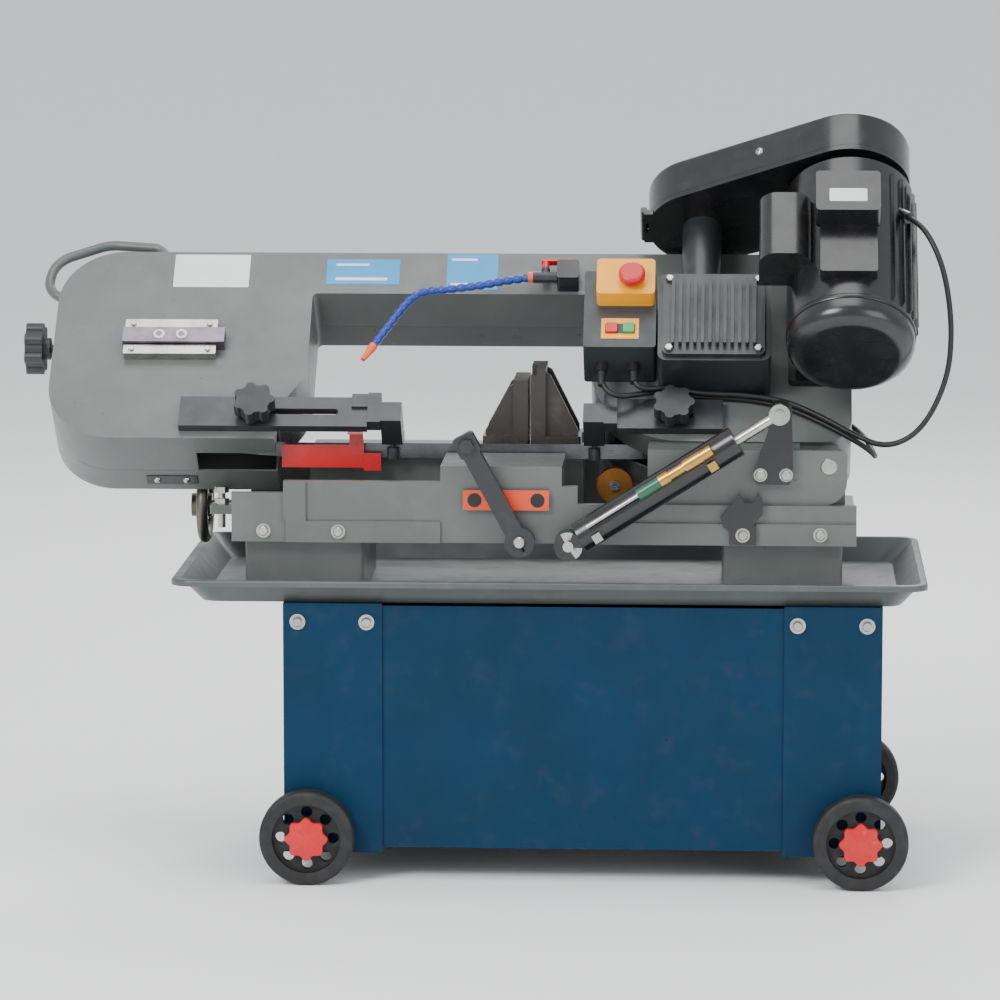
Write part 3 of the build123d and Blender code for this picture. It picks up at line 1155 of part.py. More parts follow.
# The return line runs along the front of the body: valve, fittings and a thin pipe.
LINE_SIDE = -10.0
LINE_FRONT = CYLINDER_RADIUS + 6
line_plane = at(ACROSS_CYLINDER, LINE_FRONT, LINE_SIDE)
feed_line = [rod(line_plane.offset(start), radius, length)
             for start, length, radius in ((36, 80, 3), (116, 34, 8), (150, 14, 9),
                                           (164, 24, 7), (188, 26, 9), (214, 16, 8))]
line_solid = feed_line[0]
for piece in feed_line[1:]:
    line_solid += piece
for start in (40, 220):
    line_solid += block(ALONG, (start - 6, start + 6), (LINE_SIDE - 6, LINE_SIDE + 6), (10, LINE_FRONT))
line_solid -= rod(ACROSS_CYLINDER, CYLINDER_RADIUS, BODY_LENGTH + 10)
save_group([cylinder, line_solid], "hydraulic_cylinder")

EYE_RADIUS = 14.0
PISTON_START = 120.0
piston_rod = rod(ACROSS_CYLINDER.offset(PISTON_START), 7, reach - PISTON_START - 8)
piston_rod += rod(ACROSS_CYLINDER.offset(PISTON_START), 16.9, 14)
piston_rod += rod(at(ALONG, reach, 0, -8), EYE_RADIUS, 16)
piston_rod += rod(at(ALONG, reach, 0, -15), 7, 30)
save(piston_rod, "piston_rod")

# The bracket that the rod's eye works on, with its two screws.
BRACKET_TOP = ROD_EYE[1] + 14
with BuildPart() as rod_bracket:
    with BuildSketch(FRONT.offset(-ARM_PLATE_Y[0])):
        with BuildLine():
            Polyline((387, 532), (432, 532), (436, 556), (434, BRACKET_TOP - 8),
                     (426, BRACKET_TOP), (409, BRACKET_TOP), (402, 600), (390, 566), close=True)
        make_face()
        with Locations((393, 545), (427, 545)):
            Circle(4, mode=Mode.SUBTRACT)
    extrude(amount=14)
    with BuildSketch(at(FRONT, *ROD_EYE, -ARM_PLATE_Y[0] + 14)):
        Circle(11)
    extrude(amount=15)
save(rod_bracket.part, "rod_bracket")

# ---- cables, which ride on the head ----
CABLE_RADIUS = 3.75
# Each point of these routes is (X, height up the face, distance out from the wheels' mid-plane).
MAINS_ON_FACE = [(GLAND_XS[0], SWITCH_Z[0] - 14, GLAND_Q), (GLAND_XS[0], -103, GLAND_Q),
                 (200, -118, 92),
                 (230, -106, 84), (258, -94.4, 75), (310, -94.2, 62.5), (370, -95, 61.5),
                 (425, -108, 62), (472, -133, 61.5), (512, -160, 62)]
# Beyond the bow's end the lead goes to the back; these points are (X, Y, Z).
MAINS_BEHIND = [(541, -68, 567), (549, -22, 552), (546, 30, 552), (540, 78, 562), (524, 116, 574),
                (498, 130, 580)]
MOTOR_ROUTE = [(GLAND_XS[1], SWITCH_Z[0] - 14, GLAND_Q), (GLAND_XS[1], -96, GLAND_Q), (237, -104, 91),
               (264, -94.3, 84), (312, -94.4, 71), (370, -95, 70), (425, -106, 71.5),
               (472, -131, 71), (513, -160, 71.5), (560, -191, 77), (607, -180, 100),
               (641, -128, 143), (647, -78, 189), (638, -28, 238), (622, 10, 262),
               along_gland(GLAND_LENGTH + 25), along_gland(GLAND_LENGTH)]


def on_head(points):
    return [HEAD.from_local_coords(point) for point in points]


HANK_Y = (128.0, 152.0)
HANK_ENDS = ((410.0, 564.0), (470.0, 564.0))
HANK_RADIUS = 28.0
save(tube(on_head(MAINS_ON_FACE) + MAINS_BEHIND, CABLE_RADIUS, "mains cord"), "mains_cord")
save(tube(on_head(MOTOR_ROUTE), CABLE_RADIUS, "motor cable"), "motor_cable")
with BuildPart() as mains_hank:
    with BuildSketch(FRONT.offset(-HANK_Y[1])):
        with Locations(*HANK_ENDS):
            Circle(HANK_RADIUS)
        make_hull()
    extrude(amount=HANK_Y[1] - HANK_Y[0])
save(mains_hank.part, "mains_hank")

# The plug lies beside the hank, under the rear cover.
PLUG_X = (296.0, 338.0)
PLUG_Y = 140.0
PLUG_Z = 564.0
with BuildPart() as plug:
    with BuildSketch(FRONT.offset(-HANK_Y[1])):
        with Locations(((PLUG_X[0] + PLUG_X[1]) / 2, PLUG_Z)):
            RectangleRounded(PLUG_X[1] - PLUG_X[0], 38, 8)
    extrude(amount=HANK_Y[1] - HANK_Y[0])
    with BuildSketch(at(Plane.YZ, PLUG_Y, PLUG_Z, PLUG_X[1] + 12)):
        Circle(5)
    extrude(amount=-12)
    with BuildSketch(at(Plane.YZ, PLUG_Y, PLUG_Z, PLUG_X[0])):
        with Locations((0, 9.5), (0, -9.5)):
            Circle(2.4)
    extrude(amount=-19)
save(plug.part - mains_hank.part, "plug")

# ---- fasteners of the head ----
head_screws = []
for x in (COVER_X[0] + 9, COVER_X[1] - 9):
    for z in (COVER_Z[0] + 9, COVER_Z[1] - 9):
        head_screws.append(screw(at(HEAD, x, z, GEARBOX_FRONT + 6), 10, 5))
for x in (393, 427):
    head_screws.append(screw(at(FRONT, x, 545, -ARM_PLATE_Y[0] + 14), 13, 6, 8, 14, 18))
save_group(head_screws, "head_bolts")
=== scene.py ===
"""Looks of the horizontal band saw: materials, cables, hose, labels and small details round the CAD frame."""
from math import cos, hypot, pi, radians, sin, sqrt

import bmesh
import bpy
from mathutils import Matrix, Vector


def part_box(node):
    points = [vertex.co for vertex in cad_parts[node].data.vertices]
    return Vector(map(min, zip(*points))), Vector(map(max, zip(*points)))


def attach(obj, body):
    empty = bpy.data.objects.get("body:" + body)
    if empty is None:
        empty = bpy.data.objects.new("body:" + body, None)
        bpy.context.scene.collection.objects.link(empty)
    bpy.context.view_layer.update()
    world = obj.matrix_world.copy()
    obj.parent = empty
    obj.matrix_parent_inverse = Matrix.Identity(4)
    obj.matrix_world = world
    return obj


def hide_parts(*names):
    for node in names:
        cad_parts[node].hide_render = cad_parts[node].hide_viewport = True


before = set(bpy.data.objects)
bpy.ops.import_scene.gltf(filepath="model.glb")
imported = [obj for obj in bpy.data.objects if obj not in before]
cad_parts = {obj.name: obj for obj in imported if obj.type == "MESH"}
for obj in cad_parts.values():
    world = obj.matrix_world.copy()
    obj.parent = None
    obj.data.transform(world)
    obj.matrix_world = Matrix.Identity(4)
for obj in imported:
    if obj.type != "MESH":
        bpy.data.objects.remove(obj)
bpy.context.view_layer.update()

# The head leans back 45 degrees. Its frame has X along the saw, Z up the casting and Q out of its face.
LEAN = sqrt(0.5)
HEAD_ORIGIN = Vector((0, 0.094, 0.654))
ALONG = Vector((1, 0, 0))
UP = Vector((0, LEAN, LEAN))
OUT = Vector((0, -LEAN, LEAN))
FRONT = Vector((0, -1, 0))
SKY = Vector((0, 0, 1))
FACE = 57


def head(x, z, q):
    """A point on the head, from millimetres in its own frame."""
    return HEAD_ORIGIN + (ALONG * x + UP * z + OUT * q) / 1000


# ---- camera and light ----
CAMERA_PLACE = (0.376, -6.6, 1.424)
CAMERA_TARGET = (0.039, 0, 0.487)
CAMERA_LENS = 176.2
CAMERA_REACH = 60


def aim(thing, target):
    thing.rotation_euler = (Vector(target) - thing.location).to_track_quat("-Z", "Y").to_euler()


camera = bpy.data.objects.new("camera", bpy.data.cameras.new("camera"))
bpy.context.scene.collection.objects.link(camera)
camera.location = CAMERA_PLACE
aim(camera, CAMERA_TARGET)
camera.data.lens = CAMERA_LENS
camera.data.clip_end = CAMERA_REACH
bpy.context.scene.camera = camera


def lamp(name, place, target, size, power, colour=(1, 1, 1)):
    light = bpy.data.objects.new(name, bpy.data.lights.new(name, "AREA"))
    bpy.context.scene.collection.objects.link(light)
    light.location = place
    light.data.size = size
    light.data.energy = power
    light.data.color = colour
    aim(light, target)


MIDDLE = (0, 0, 0.5)
lamp("key", (-2.4, -3.6, 3.6), MIDDLE, 2.0, 190)
lamp("fill", (3.4, -3.4, 2.0), MIDDLE, 2.6, 60)
lamp("rim", (0.6, 3.2, 3.0), MIDDLE, 2.0, 70)
lamp("top", (0, -0.4, 4.2), MIDDLE, 2.4, 60)
world = bpy.data.worlds.new("studio")
world.use_nodes = True
world.node_tree.nodes["Background"].inputs["Color"].default_value = (0.86, 0.88, 0.9, 1)
world.node_tree.nodes["Background"].inputs["Strength"].default_value = 1.0
bpy.context.scene.world = world


# ---- materials ----
def linear(colour):
    """Linear light from an sRGB colour such as 0x9fa8b1."""
    shares = [((colour >> shift) & 255) / 255 for shift in (16, 8, 0)]
    return [s / 12.92 if s <= 0.04045 else ((s + 0.055) / 1.055) ** 2.4 for s in shares] + [1]


class Graph:
    """A material's nodes, with short calls for the ones used here."""

    def __init__(self, name):
        self.material = bpy.data.materials.new(name)
        self.material.use_nodes = True
        self.tree = self.material.node_tree
        self.shader = self.tree.nodes["Principled BSDF"]
        self.place = self.tree.nodes.new("ShaderNodeTexCoord").outputs["Object"]

    def link(self, start, end):
        self.tree.links.new(start, end)

    def noise(self, scale, detail=4, stretch=None):
        node = self.tree.nodes.new("ShaderNodeTexNoise")
        node.inputs["Scale"].default_value = scale
        node.inputs["Detail"].default_value = detail
        start = self.place
        if stretch:
            mapping = self.tree.nodes.new("ShaderNodeMapping")
            mapping.inputs["Scale"].default_value = stretch
            self.link(start, mapping.inputs["Vector"])
            start = mapping.outputs["Vector"]
        self.link(start, node.inputs["Vector"])
        return node.outputs["Fac"]

    def ramp(self, value, low, high, first=0.0, last=1.0):
        node = self.tree.nodes.new("ShaderNodeMapRange")
        node.inputs["From Min"].default_value = low
        node.inputs["From Max"].default_value = high
        node.inputs["To Min"].default_value = first
        node.inputs["To Max"].default_value = last
        self.link(value, node.inputs["Value"])
        return node.outputs["Result"]

    def mix(self, share, first, second):
        node = self.tree.nodes.new("ShaderNodeMix")
        node.data_type = "RGBA"
        self.link(share, node.inputs["Factor"])
        for socket, value in ((node.inputs[6], first), (node.inputs[7], second)):
            if isinstance(value, bpy.types.NodeSocket):
                self.link(value, socket)
            else:
                socket.default_value = value
        return node.outputs[2]

    def bump(self, height, distance, strength=0.6):
        node = self.tree.nodes.new("ShaderNodeBump")
        node.inputs["Distance"].default_value = distance
        node.inputs["Strength"].default_value = strength
        self.link(height, node.inputs["Height"])
        self.link(node.outputs["Normal"], self.shader.inputs["Normal"])

    def set(self, **values):
        for name, value in values.items():
            socket = self.shader.inputs[name.replace("_", " ")]
            if isinstance(value, bpy.types.NodeSocket):
                self.link(value, socket)
            else:
                socket.default_value = value


def shade(colour, factor):
    return [min(1, channel * factor) for channel in linear(colour)[:3]] + [1]


def paint(name, colour, rough=0.38, grain=260, depth=0.0003, coat=0.15, dust=0.12, specular=0.5):
    """Enamel or powder coat: fine peel, faint clouds of dust and tiny chips."""
    g = Graph(name)
    clouds = g.ramp(g.noise(9, 5), 0.35, 0.7)
    body = g.mix(clouds, shade(colour, 0.90), shade(colour, 1.08))
    dirt = g.ramp(g.noise(38, 8), 0.56, 0.80, 0, dust)
    body = g.mix(dirt, body, linear(0x8a847a))
    chips = g.ramp(g.noise(190, 3), 0.735, 0.76)
    body = g.mix(chips, body, shade(colour, 0.45))
    g.set(Base_Color=body, Roughness=g.ramp(g.noise(30, 5), 0.3, 0.7, rough - 0.07, rough + 0.1),
          Coat_Weight=coat, Coat_Roughness=0.25, Specular_IOR_Level=specular)
    g.bump(g.noise(grain, 3), depth)
    return g.material


def metal(name, colour, rough=0.3, stretch=(1, 60, 60), grain=30, depth=0.00006):
    """Bare metal with machining marks along one way and faint stains."""
    g = Graph(name)
    marks = g.noise(grain, 6, stretch)
    stains = g.ramp(g.noise(45, 6), 0.4, 0.75)
    body = g.mix(stains, shade(colour, 1.05), shade(colour, 0.72))
    g.set(Base_Color=body, Metallic=1.0, Roughness=g.ramp(marks, 0.3, 0.7, rough - 0.08, rough + 0.12))
    g.bump(marks, depth)
    return g.material


def plastic(name, colour, rough=0.4, grain=900, depth=0.00008):
    """Moulded plastic with a fine texture and slight fingermarks."""
    g = Graph(name)
    body = g.mix(g.ramp(g.noise(14, 5), 0.35, 0.7), shade(colour, 0.92), shade(colour, 1.07))
    g.set(Base_Color=body, Roughness=g.ramp(g.noise(40, 5), 0.3, 0.7, rough - 0.06, rough + 0.08))
    g.bump(g.noise(grain, 2), depth)
    return g.material


def rubber(name, colour, rough=0.62):
    """Rubber with a dusty bloom."""
    g = Graph(name)
    body = g.mix(g.ramp(g.noise(60, 8), 0.45, 0.75), linear(colour), shade(colour, 2.1))
    g.set(Base_Color=body, Roughness=g.ramp(g.noise(90, 4), 0.3, 0.7, rough - 0.08, rough + 0.12))
    g.bump(g.noise(1400, 2), 0.00005)
    return g.material


# ---- a wide flat floor ----
FLOOR_HALF = 60
FLOOR_CORNERS = ((-1, -1), (1, -1), (1, 1), (-1, 1))
floor_mesh = bpy.data.meshes.new("floor")
floor_mesh.from_pydata([(x * FLOOR_HALF, y * FLOOR_HALF, 0) for x, y in FLOOR_CORNERS], [], [(0, 1, 2, 3)])
floor = bpy.data.objects.new("floor", floor_mesh)
bpy.context.scene.collection.objects.link(floor)
floor_look = Graph("floor")
floor_look.set(Base_Color=(0.97, 0.97, 0.97, 1), Roughness=0.85)
floor_mesh.materials.append(floor_look.material)

LOOKS = {
    "casting": paint("casting_enamel", 0x5e6361, 0.36, 320, 0.0004),
    "cover": paint("cover_enamel", 0x5b605e, 0.33, 500, 0.00012),
    "tray": paint("tray_enamel", 0x4a504f, 0.36, 500, 0.00012),
    "stand": paint("stand_powder_coat", 0x002c47, 0.55, 1100, 0.00025, 0.0, 0.03, 0.2),
    "black": paint("black_enamel", 0x141416, 0.24, 420, 0.00015, 0.4, 0.05),
    "gear": paint("gearbox_enamel", 0x23272a, 0.36, 300, 0.0003, 0.2, 0.08),
    "arm": paint("arm_enamel", 0x2d3034, 0.34, 380, 0.0002, 0.2),
    "red_paint": paint("red_enamel", 0xd02024, 0.28, 500, 0.0001, 0.3, 0.04),
    "orange": paint("orange_label", 0xe04a1c, 0.35, 900, 0.00002, 0.1, 0.03),
    "iron": metal("machined_iron", 0x6c6863, 0.42),
    "jaw": paint("jaw_blacking", 0x34302e, 0.4, 240, 0.0004, 0.1, 0.18),
    "steel": metal("bright_steel", 0xb9b8b5, 0.24),
    "slide": metal("slide_steel", 0x8c858d, 0.38, (60, 60, 1)),
    "blade": metal("blade_steel", 0x77777a, 0.3, (2, 200, 200)),
    "brass": metal("brass", 0xc39a55, 0.28),
    "bronze": metal("bronze_wire", 0xa5713a, 0.45, (1, 1, 1), 900, 0.0006),
    "black_plastic": plastic("black_plastic", 0x1c1c1e, 0.42),
    "knob": plastic("knob_plastic", 0x26282a, 0.38),
    "yellow": plastic("yellow_plastic", 0xf7a814, 0.36),
    "box": plastic("box_plastic", 0x33373a, 0.4),
    "red": plastic("red_plastic", 0xcc1a20, 0.27),
    "green": plastic("green_plastic", 0x1f9c55, 0.27),
    "blue": plastic("blue_plastic", 0x223a92, 0.3),
    "nozzle": plastic("orange_plastic", 0xf0602c, 0.33),
    "tyre": rubber("wheel_tyre", 0x19191a),
    "sheath": rubber("cable_sheath", 0x141415, 0.5),
    "white": paint("white_label", 0xe9eaea, 0.32, 900, 0.00002, 0.1, 0.05),
    "cyan": paint("cyan_label", 0x0090cc, 0.3, 900, 0.00002, 0.1, 0.03),
    "tank": plastic("tank_plastic", 0x303234, 0.5),
}
NODE_LOOKS = {
    "casting": "bow_frame bed pedestals",
    "cover": "rear_cover lift_handle",
    "tray": "chip_tray",
    "stand": "stand_legs stand_panels",
    "black": "motor motor_boxes motor_mount belt_cover_base belt_cover_lid rod_bracket fork_bracket"
             " hydraulic_cylinder",
    "gear": "gearbox_housing gearbox_cover coolant_block work_stop_arm",
    "arm": "left_guide_arm right_guide_arm left_guide_block right_guide_block",
    "red_paint": "blade_guard valve_lever",
    "iron": "idler_wheel drive_wheel handwheel",
    "jaw": "fixed_jaw movable_jaw",
    "steel": "stand_bolts head_bolts slide_bars vise_screw work_stop_rod pivot_pins drive_shaft"
             " worm_shaft motor_pulley piston_rod",
    "slide": "tension_slide",
    "blade": "saw_blade",
    "bronze": "wire_brush",
    "knob": "tension_knob left_guide_knob right_guide_knob",
    "box": "switch_box",
    "red": "emergency_stop stop_button",
    "green": "start_button",
    "tyre": "left_wheels right_wheels v_belt",
    "sheath": "motor_cable mains_cord mains_hank plug",
    "blue": "coolant_hose",
    "tank": "coolant_tank",
}
SMOOTH_DEGREES = 32
SHARP_ANGLE = radians(SMOOTH_DEGREES)
EDGE_WIDTH = 0.0007
for look, node_names in NODE_LOOKS.items():
    for node_name in node_names.split():
        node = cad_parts[node_name]
        node.data.materials.clear()
        node.data.materials.append(LOOKS[look])
        node.data.polygons.foreach_set("use_smooth", [True] * len(node.data.polygons))
        node.data.set_sharp_from_angle(angle=SHARP_ANGLE)
        soften = node.modifiers.new("soft_edges", "BEVEL")
        soften.width = EDGE_WIDTH
        soften.segments = 2
        soften.limit_method = "ANGLE"
        soften.angle_limit = SHARP_ANGLE
        soften.harden_normals = False


# ---- mesh helpers ----
CORNER_STEPS = 6


def piece(name, mesh, look, body, smooth=SMOOTH_DEGREES):
    """A finished piece of the object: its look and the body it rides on."""
    obj = bpy.data.objects.new(name, mesh)
    bpy.context.scene.collection.objects.link(obj)
    mesh.materials.append(LOOKS[look])
    mesh.polygons.foreach_set("use_smooth", [True] * len(mesh.polygons))
    mesh.set_sharp_from_angle(angle=radians(smooth))
    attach(obj, body)
    return obj


def bridge(bm, rings):
    """Faces between each ring of points and the next."""
    count = len(rings[0])
    for low, high in zip(rings, rings[1:]):
        for k in range(count):
            bm.faces.new((low[k], low[(k + 1) % count], high[(k + 1) % count], high[k]))


def finished(bm, name):
    """The work mesh as a mesh of this name."""
    mesh = bpy.data.meshes.new(name)
    bm.to_mesh(mesh)
    bm.free()
    return mesh


def turned(profile, place, axis, sides=48, lobes=0, lobe_depth=0.0):
    """A mesh turned from (radius, height) pairs in mm along an axis, with optional lobes round it."""
    bm = bmesh.new()
    spin = Vector(axis).to_track_quat("Z", "X").to_matrix()
    rings = []
    for radius, height in profile:
        ring = []
        for k in range(sides):
            turn = 2 * pi * k / sides
            reach = radius * (1 + lobe_depth * cos(lobes * turn)) if lobes else radius
            spot = Vector((reach * cos(turn), reach * sin(turn), height)) / 1000
            ring.append(bm.verts.new(Vector(place) + spin @ spot))
        rings.append(ring)
    bridge(bm, rings)
    bm.faces.new(list(reversed(rings[0])))
    bm.faces.new(rings[-1])
    return finished(bm, "turned")


def joined(meshes):
    """One mesh from several."""
    bm = bmesh.new()
    for mesh in meshes:
        bm.from_mesh(mesh)
    return finished(bm, "joined")


def plate(place, right, up, width, height, thickness, corner=4.0, edge=0.4):
    """A thin plate with round corners and softened edges, in mm, standing on place."""
    right, up = Vector(right), Vector(up)
    out = right.cross(up)
    corner = min(corner, width / 2 - 0.01, height / 2 - 0.01)
    bm = bmesh.new()
    rings = []
    for inset, level in ((0, 0), (0, thickness - edge), (edge, thickness)):
        ring = []
        for side_x, side_z, start in ((1, 1, 0), (-1, 1, 1), (-1, -1, 2), (1, -1, 3)):
            for k in range(CORNER_STEPS + 1):
                turn = (start + k / CORNER_STEPS) * pi / 2
                reach = corner - inset
                x = side_x * (width / 2 - corner) + reach * cos(turn)
                z = side_z * (height / 2 - corner) + reach * sin(turn)
                ring.append(bm.verts.new(Vector(place) + (right * x + up * z + out * level) / 1000))
        rings.append(ring)
    bridge(bm, rings)
    bm.faces.new(rings[-1])
    bm.faces.new(list(reversed(rings[0])))
    return finished(bm, "plate")


# ---- cables ----
CABLE = 0.0075


def spline(name, points):
    """A smooth curve with these control points."""
    data = bpy.data.curves.new(name, "CURVE")
    data.dimensions = "3D"
    run = data.splines.new("NURBS")
    run.points.add(len(points) - 1)
    for point, place in zip(run.points, points):
        point.co = (*place, 1)
    run.order_u = 3
    run.use_endpoint_u = True
    run.resolution_u = 10
    return data


def cable(name, points, look, body):
    data = spline(name, points)
    data.bevel_depth = CABLE / 2
    data.bevel_resolution = 5
    data.use_fill_caps = True
    obj = bpy.data.objects.new(name, data)
    bpy.context.scene.collection.objects.link(obj)
    data.materials.append(LOOKS[look])
    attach(obj, body)
    return obj


def read_path(points):
    """Points along the smooth curve through this route, for a mesh that follows it."""
    data = spline("path", points)
    data.splines[0].resolution_u = 40
    carrier = bpy.data.objects.new("path", data)
    bpy.context.scene.collection.objects.link(carrier)
    bpy.context.view_layer.update()
    shaped = bpy.data.meshes.new_from_object(carrier)
    path = [v.co.copy() for v in shaped.vertices]
    bpy.data.objects.remove(carrier)
    return path


def swept(path, radius_at, step=0.0005, sides=20):
    """A closed mesh tube round a path, its radius a function of the distance along it."""
    reach = [0.0]
    for start, end in zip(path, path[1:]):
        reach.append(reach[-1] + (end - start).length)
    bm = bmesh.new()
    rings = []
    side_way = None
    index = 0
    count = int(reach[-1] / step)
    for k in range(count + 1):
        distance = reach[-1] * k / count
        while index < len(path) - 2 and reach[index + 1] < distance:
            index += 1
        way = (path[index + 1] - path[index]).normalized()
        place = path[index] + way * (distance - reach[index])
        if side_way is None:
            side_way = way.orthogonal().normalized()
        side_way = (side_way - way * side_way.dot(way)).normalized()
        other = way.cross(side_way)
        radius = radius_at(distance)
        rings.append([bm.verts.new(place + (side_way * cos(2 * pi * n / sides)
                                            + other * sin(2 * pi * n / sides)) * radius)
                      for n in range(sides)])
    bridge(bm, rings)
    bm.faces.new(list(reversed(rings[0])))
    bm.faces.new(rings[-1])
    return finished(bm, "swept")


MAINS_EXIT = head(178, -78, 95)
mains_route = [head(*p) for p in ((178, -78, 95), (178, -103, 95), (200, -118, 92), (230, -106, 84),
                                  (258, -94.4, 75), (310, -94.2, 62.5), (370, -95, 61.5),
                                  (425, -108, 62), (472, -133, 61.5), (512, -160, 62))]
mains_route += [Vector(p) / 1000 for p in ((541, -68, 567), (549, -22, 552), (546, 30, 552),
                                           (540, 78, 562), (524, 116, 574), (500, 130, 586))]
# The put-away hank: three flat turns beside each other round two ends, then into the plug.
HANK_RIGHT = Vector((0.470, 0, 0.564))
HANK_LEFT = Vector((0.410, 0, 0.564))
HANK_REACH = 0.0246
HANK_Y = 0.1318
HANK_TURNS = 3
END_POINTS = 7
for turn in range(HANK_TURNS):
    for end, centre, start in ((0, HANK_RIGHT, -pi / 2), (1, HANK_LEFT, pi / 2)):
        for k in range(END_POINTS):
            before_entry = turn == 0 and end == 0 and k < END_POINTS - 1
            after_exit = turn == HANK_TURNS - 1 and end == 1
            if before_entry or after_exit:
                continue
            angle = start + pi * k / (END_POINTS - 1)
            share = (end + k / END_POINTS) / 2
            mains_route.append(Vector((centre.x + HANK_REACH * cos(angle),
                                       HANK_Y + CABLE * (turn + share - 0.5),
                                       centre.z + HANK_REACH * sin(angle))))
mains_route += [Vector(p) / 1000 for p in ((430, 147, 588.5), (404, 147, 588.5), (380, 146, 581),
                                           (364, 141, 566), (349, 140, 564), (337, 140, 564))]
mains = cable("mains_lead", mains_route, "sheath", "head")
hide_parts("mains_cord", "mains_hank")

motor_route = [head(*p) for p in ((221, -78, 95), (221, -96, 95), (237, -104, 91), (264, -94.3, 84),
                                  (312, -94.4, 71), (370, -95, 70), (425, -106, 71.5),
                                  (472, -131, 71), (513, -160, 71.5), (560, -191, 77),
                                  (607, -180, 100), (641, -128, 143), (647, -78, 189),
                                  (638, -28, 238), (622, 10, 262))]
GLAND_FOOT = (574, 86, 239)
GLAND_WAY = (0.55, -0.72, 0.42)
for distance in (53, 28):
    share = distance / hypot(*GLAND_WAY)
    motor_route.append(head(*(start + share * way for start, way in zip(GLAND_FOOT, GLAND_WAY))))
motor_lead = cable("motor_lead", motor_route, "sheath", "head")
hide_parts("motor_cable")


# Strain reliefs: ribbed cones round the leads where they leave their glands and the plug.
RELIEF_RADIUS = 0.0062
RELIEF_TAPER = 0.0018
RELIEF_LENGTH = 0.022
RELIEF_RIB = 0.0003
RELIEF_PITCH = 0.0022


def relief_radius(distance):
    rib = RELIEF_RIB if int(distance / RELIEF_PITCH) % 2 else 0
    return RELIEF_RADIUS - RELIEF_TAPER * min(1, distance / RELIEF_LENGTH) + rib


def strain_relief(name, points):
    return piece(name, swept(read_path(points), relief_radius), "sheath", "head", 60)


mains_relief = strain_relief("mains_strain_relief", [MAINS_EXIT, head(178, -88, 95), head(178, -100, 94.5)])
strain_relief("motor_strain_relief", [motor_route[0], head(221, -86, 95), head(222, -95, 94.7)])
plug_relief = strain_relief("plug_strain_relief", [Vector(p) / 1000 for p in
                                                   ((336, 140, 564), (346, 140, 564), (357, 140.4, 565))])


STRAP_POINTS = 40


def ring_band(name, centre, way, side, half_side, half_other, width, thick):
    """A flat strap about the axis way, round an oblong bundle with these half sizes in mm."""
    other = way.cross(side)
    bm = bmesh.new()
    rings = []
    for reach, level in ((0, -0.5), (thick, -0.5), (thick, 0.5), (0, 0.5)):
        ring = []
        for k in range(STRAP_POINTS):
            turn = 2 * pi * k / STRAP_POINTS
            x = (half_side + reach) * abs(cos(turn)) ** 0.5 * (1 if cos(turn) >= 0 else -1)
            y = (half_other + reach) * abs(sin(turn)) ** 0.5 * (1 if sin(turn) >= 0 else -1)
            ring.append(bm.verts.new(Vector(centre) + (side * x + other * y + way * level * width) / 1000))
        rings.append(ring)
    bridge(bm, rings + rings[:1])
    bmesh.ops.recalc_face_normals(bm, faces=bm.faces)
    return piece(name, finished(bm, name), "black_plastic", "head")


hank_middle = (HANK_RIGHT + HANK_LEFT) / 2
ring_band("hank_tie", (hank_middle.x, 0.1397, hank_middle.z), ALONG, Vector((0, 1, 0)), 12.4, 28.6,
          12, 1.2)

# ---- coolant hose: ball-jointed links on the hose's line, with an orange nozzle ----
HOSE_Q = 78
LINK = 0.0131
NECK_END = 0.22                 # shares of a link's length
BALL_END = 0.62
NECK_RADIUS = 0.0046
BALL_SWELL = 0.0014
RIM_RADIUS = 0.0060
RIM_TAPER = 0.0009
hose_points = [head(x, z, HOSE_Q) for x, z in ((79, 102), (47, 97), (9.5, 87), (-40, 79), (-69, 76),
                                               (-86, 65), (-99, 46), (-112, 22), (-127, -5),
                                               (-135, -20))]
hose_path = read_path(hose_points)


def link_radius(distance):
    """One link: a narrow neck, a swelling ball, then a rim that tapers off."""
    share = (distance % LINK) / LINK
    if share < NECK_END:
        return NECK_RADIUS
    if share < BALL_END:
        return NECK_RADIUS + BALL_SWELL * sin(pi / 2 * (share - NECK_END) / (BALL_END - NECK_END)) ** 0.5
    return RIM_RADIUS - RIM_TAPER * (share - BALL_END) / (1 - BALL_END)


hose = piece("jointed_hose", swept(hose_path, link_radius, 0.0006), "blue", "head", 40)
nozzle_start = hose_points[-1]
nozzle_way = (head(-149, -46, HOSE_Q) - nozzle_start).normalized()
NOZZLE_PROFILE = [(4.4, -1), (6.0, 0), (6.0, 9), (5.0, 12), (3.4, 28), (2.2, 28), (2.2, 20)]
nozzle = piece("hose_nozzle", turned(NOZZLE_PROFILE, nozzle_start, nozzle_way), "nozzle", "head")
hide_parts("coolant_hose")
piece("hose_collar", turned([(6.2, 0), (7.4, 1), (7.4, 7), (6.6, 8)], head(80, 102, HOSE_Q), -ALONG),
      "nozzle", "head")


# ---- CAD nodes with more than one finish ----
def repaint(node_name, look, test):
    """Gives the faces of a CAD node whose middle passes the test another look."""
    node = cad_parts[node_name]
    node.data.materials.append(LOOKS[look])
    index = len(node.data.materials) - 1
    for face in node.data.polygons:
        middle = node.matrix_world @ face.center
        if test(middle):
            face.material_index = index


def local(point):
    """A point's place in the head's own frame, in mm."""
    away = (Vector(point) - HEAD_ORIGIN) * 1000
    return away.dot(ALONG), away.dot(UP), away.dot(OUT)


def within(point, x_range, z_range, q_range):
    return all(low <= value <= high for value, (low, high) in
               zip(local(point), (x_range, z_range, q_range)))


FAR = 2000
repaint("switch_box", "yellow", lambda p: within(p, (169, 250), (6, 69), (133.2, FAR)))
repaint("switch_box", "black_plastic", lambda p: within(p, (100, 260), (-FAR, -64.2), (0, FAR)))
repaint("plug", "steel", lambda p: p.x < 0.2955)

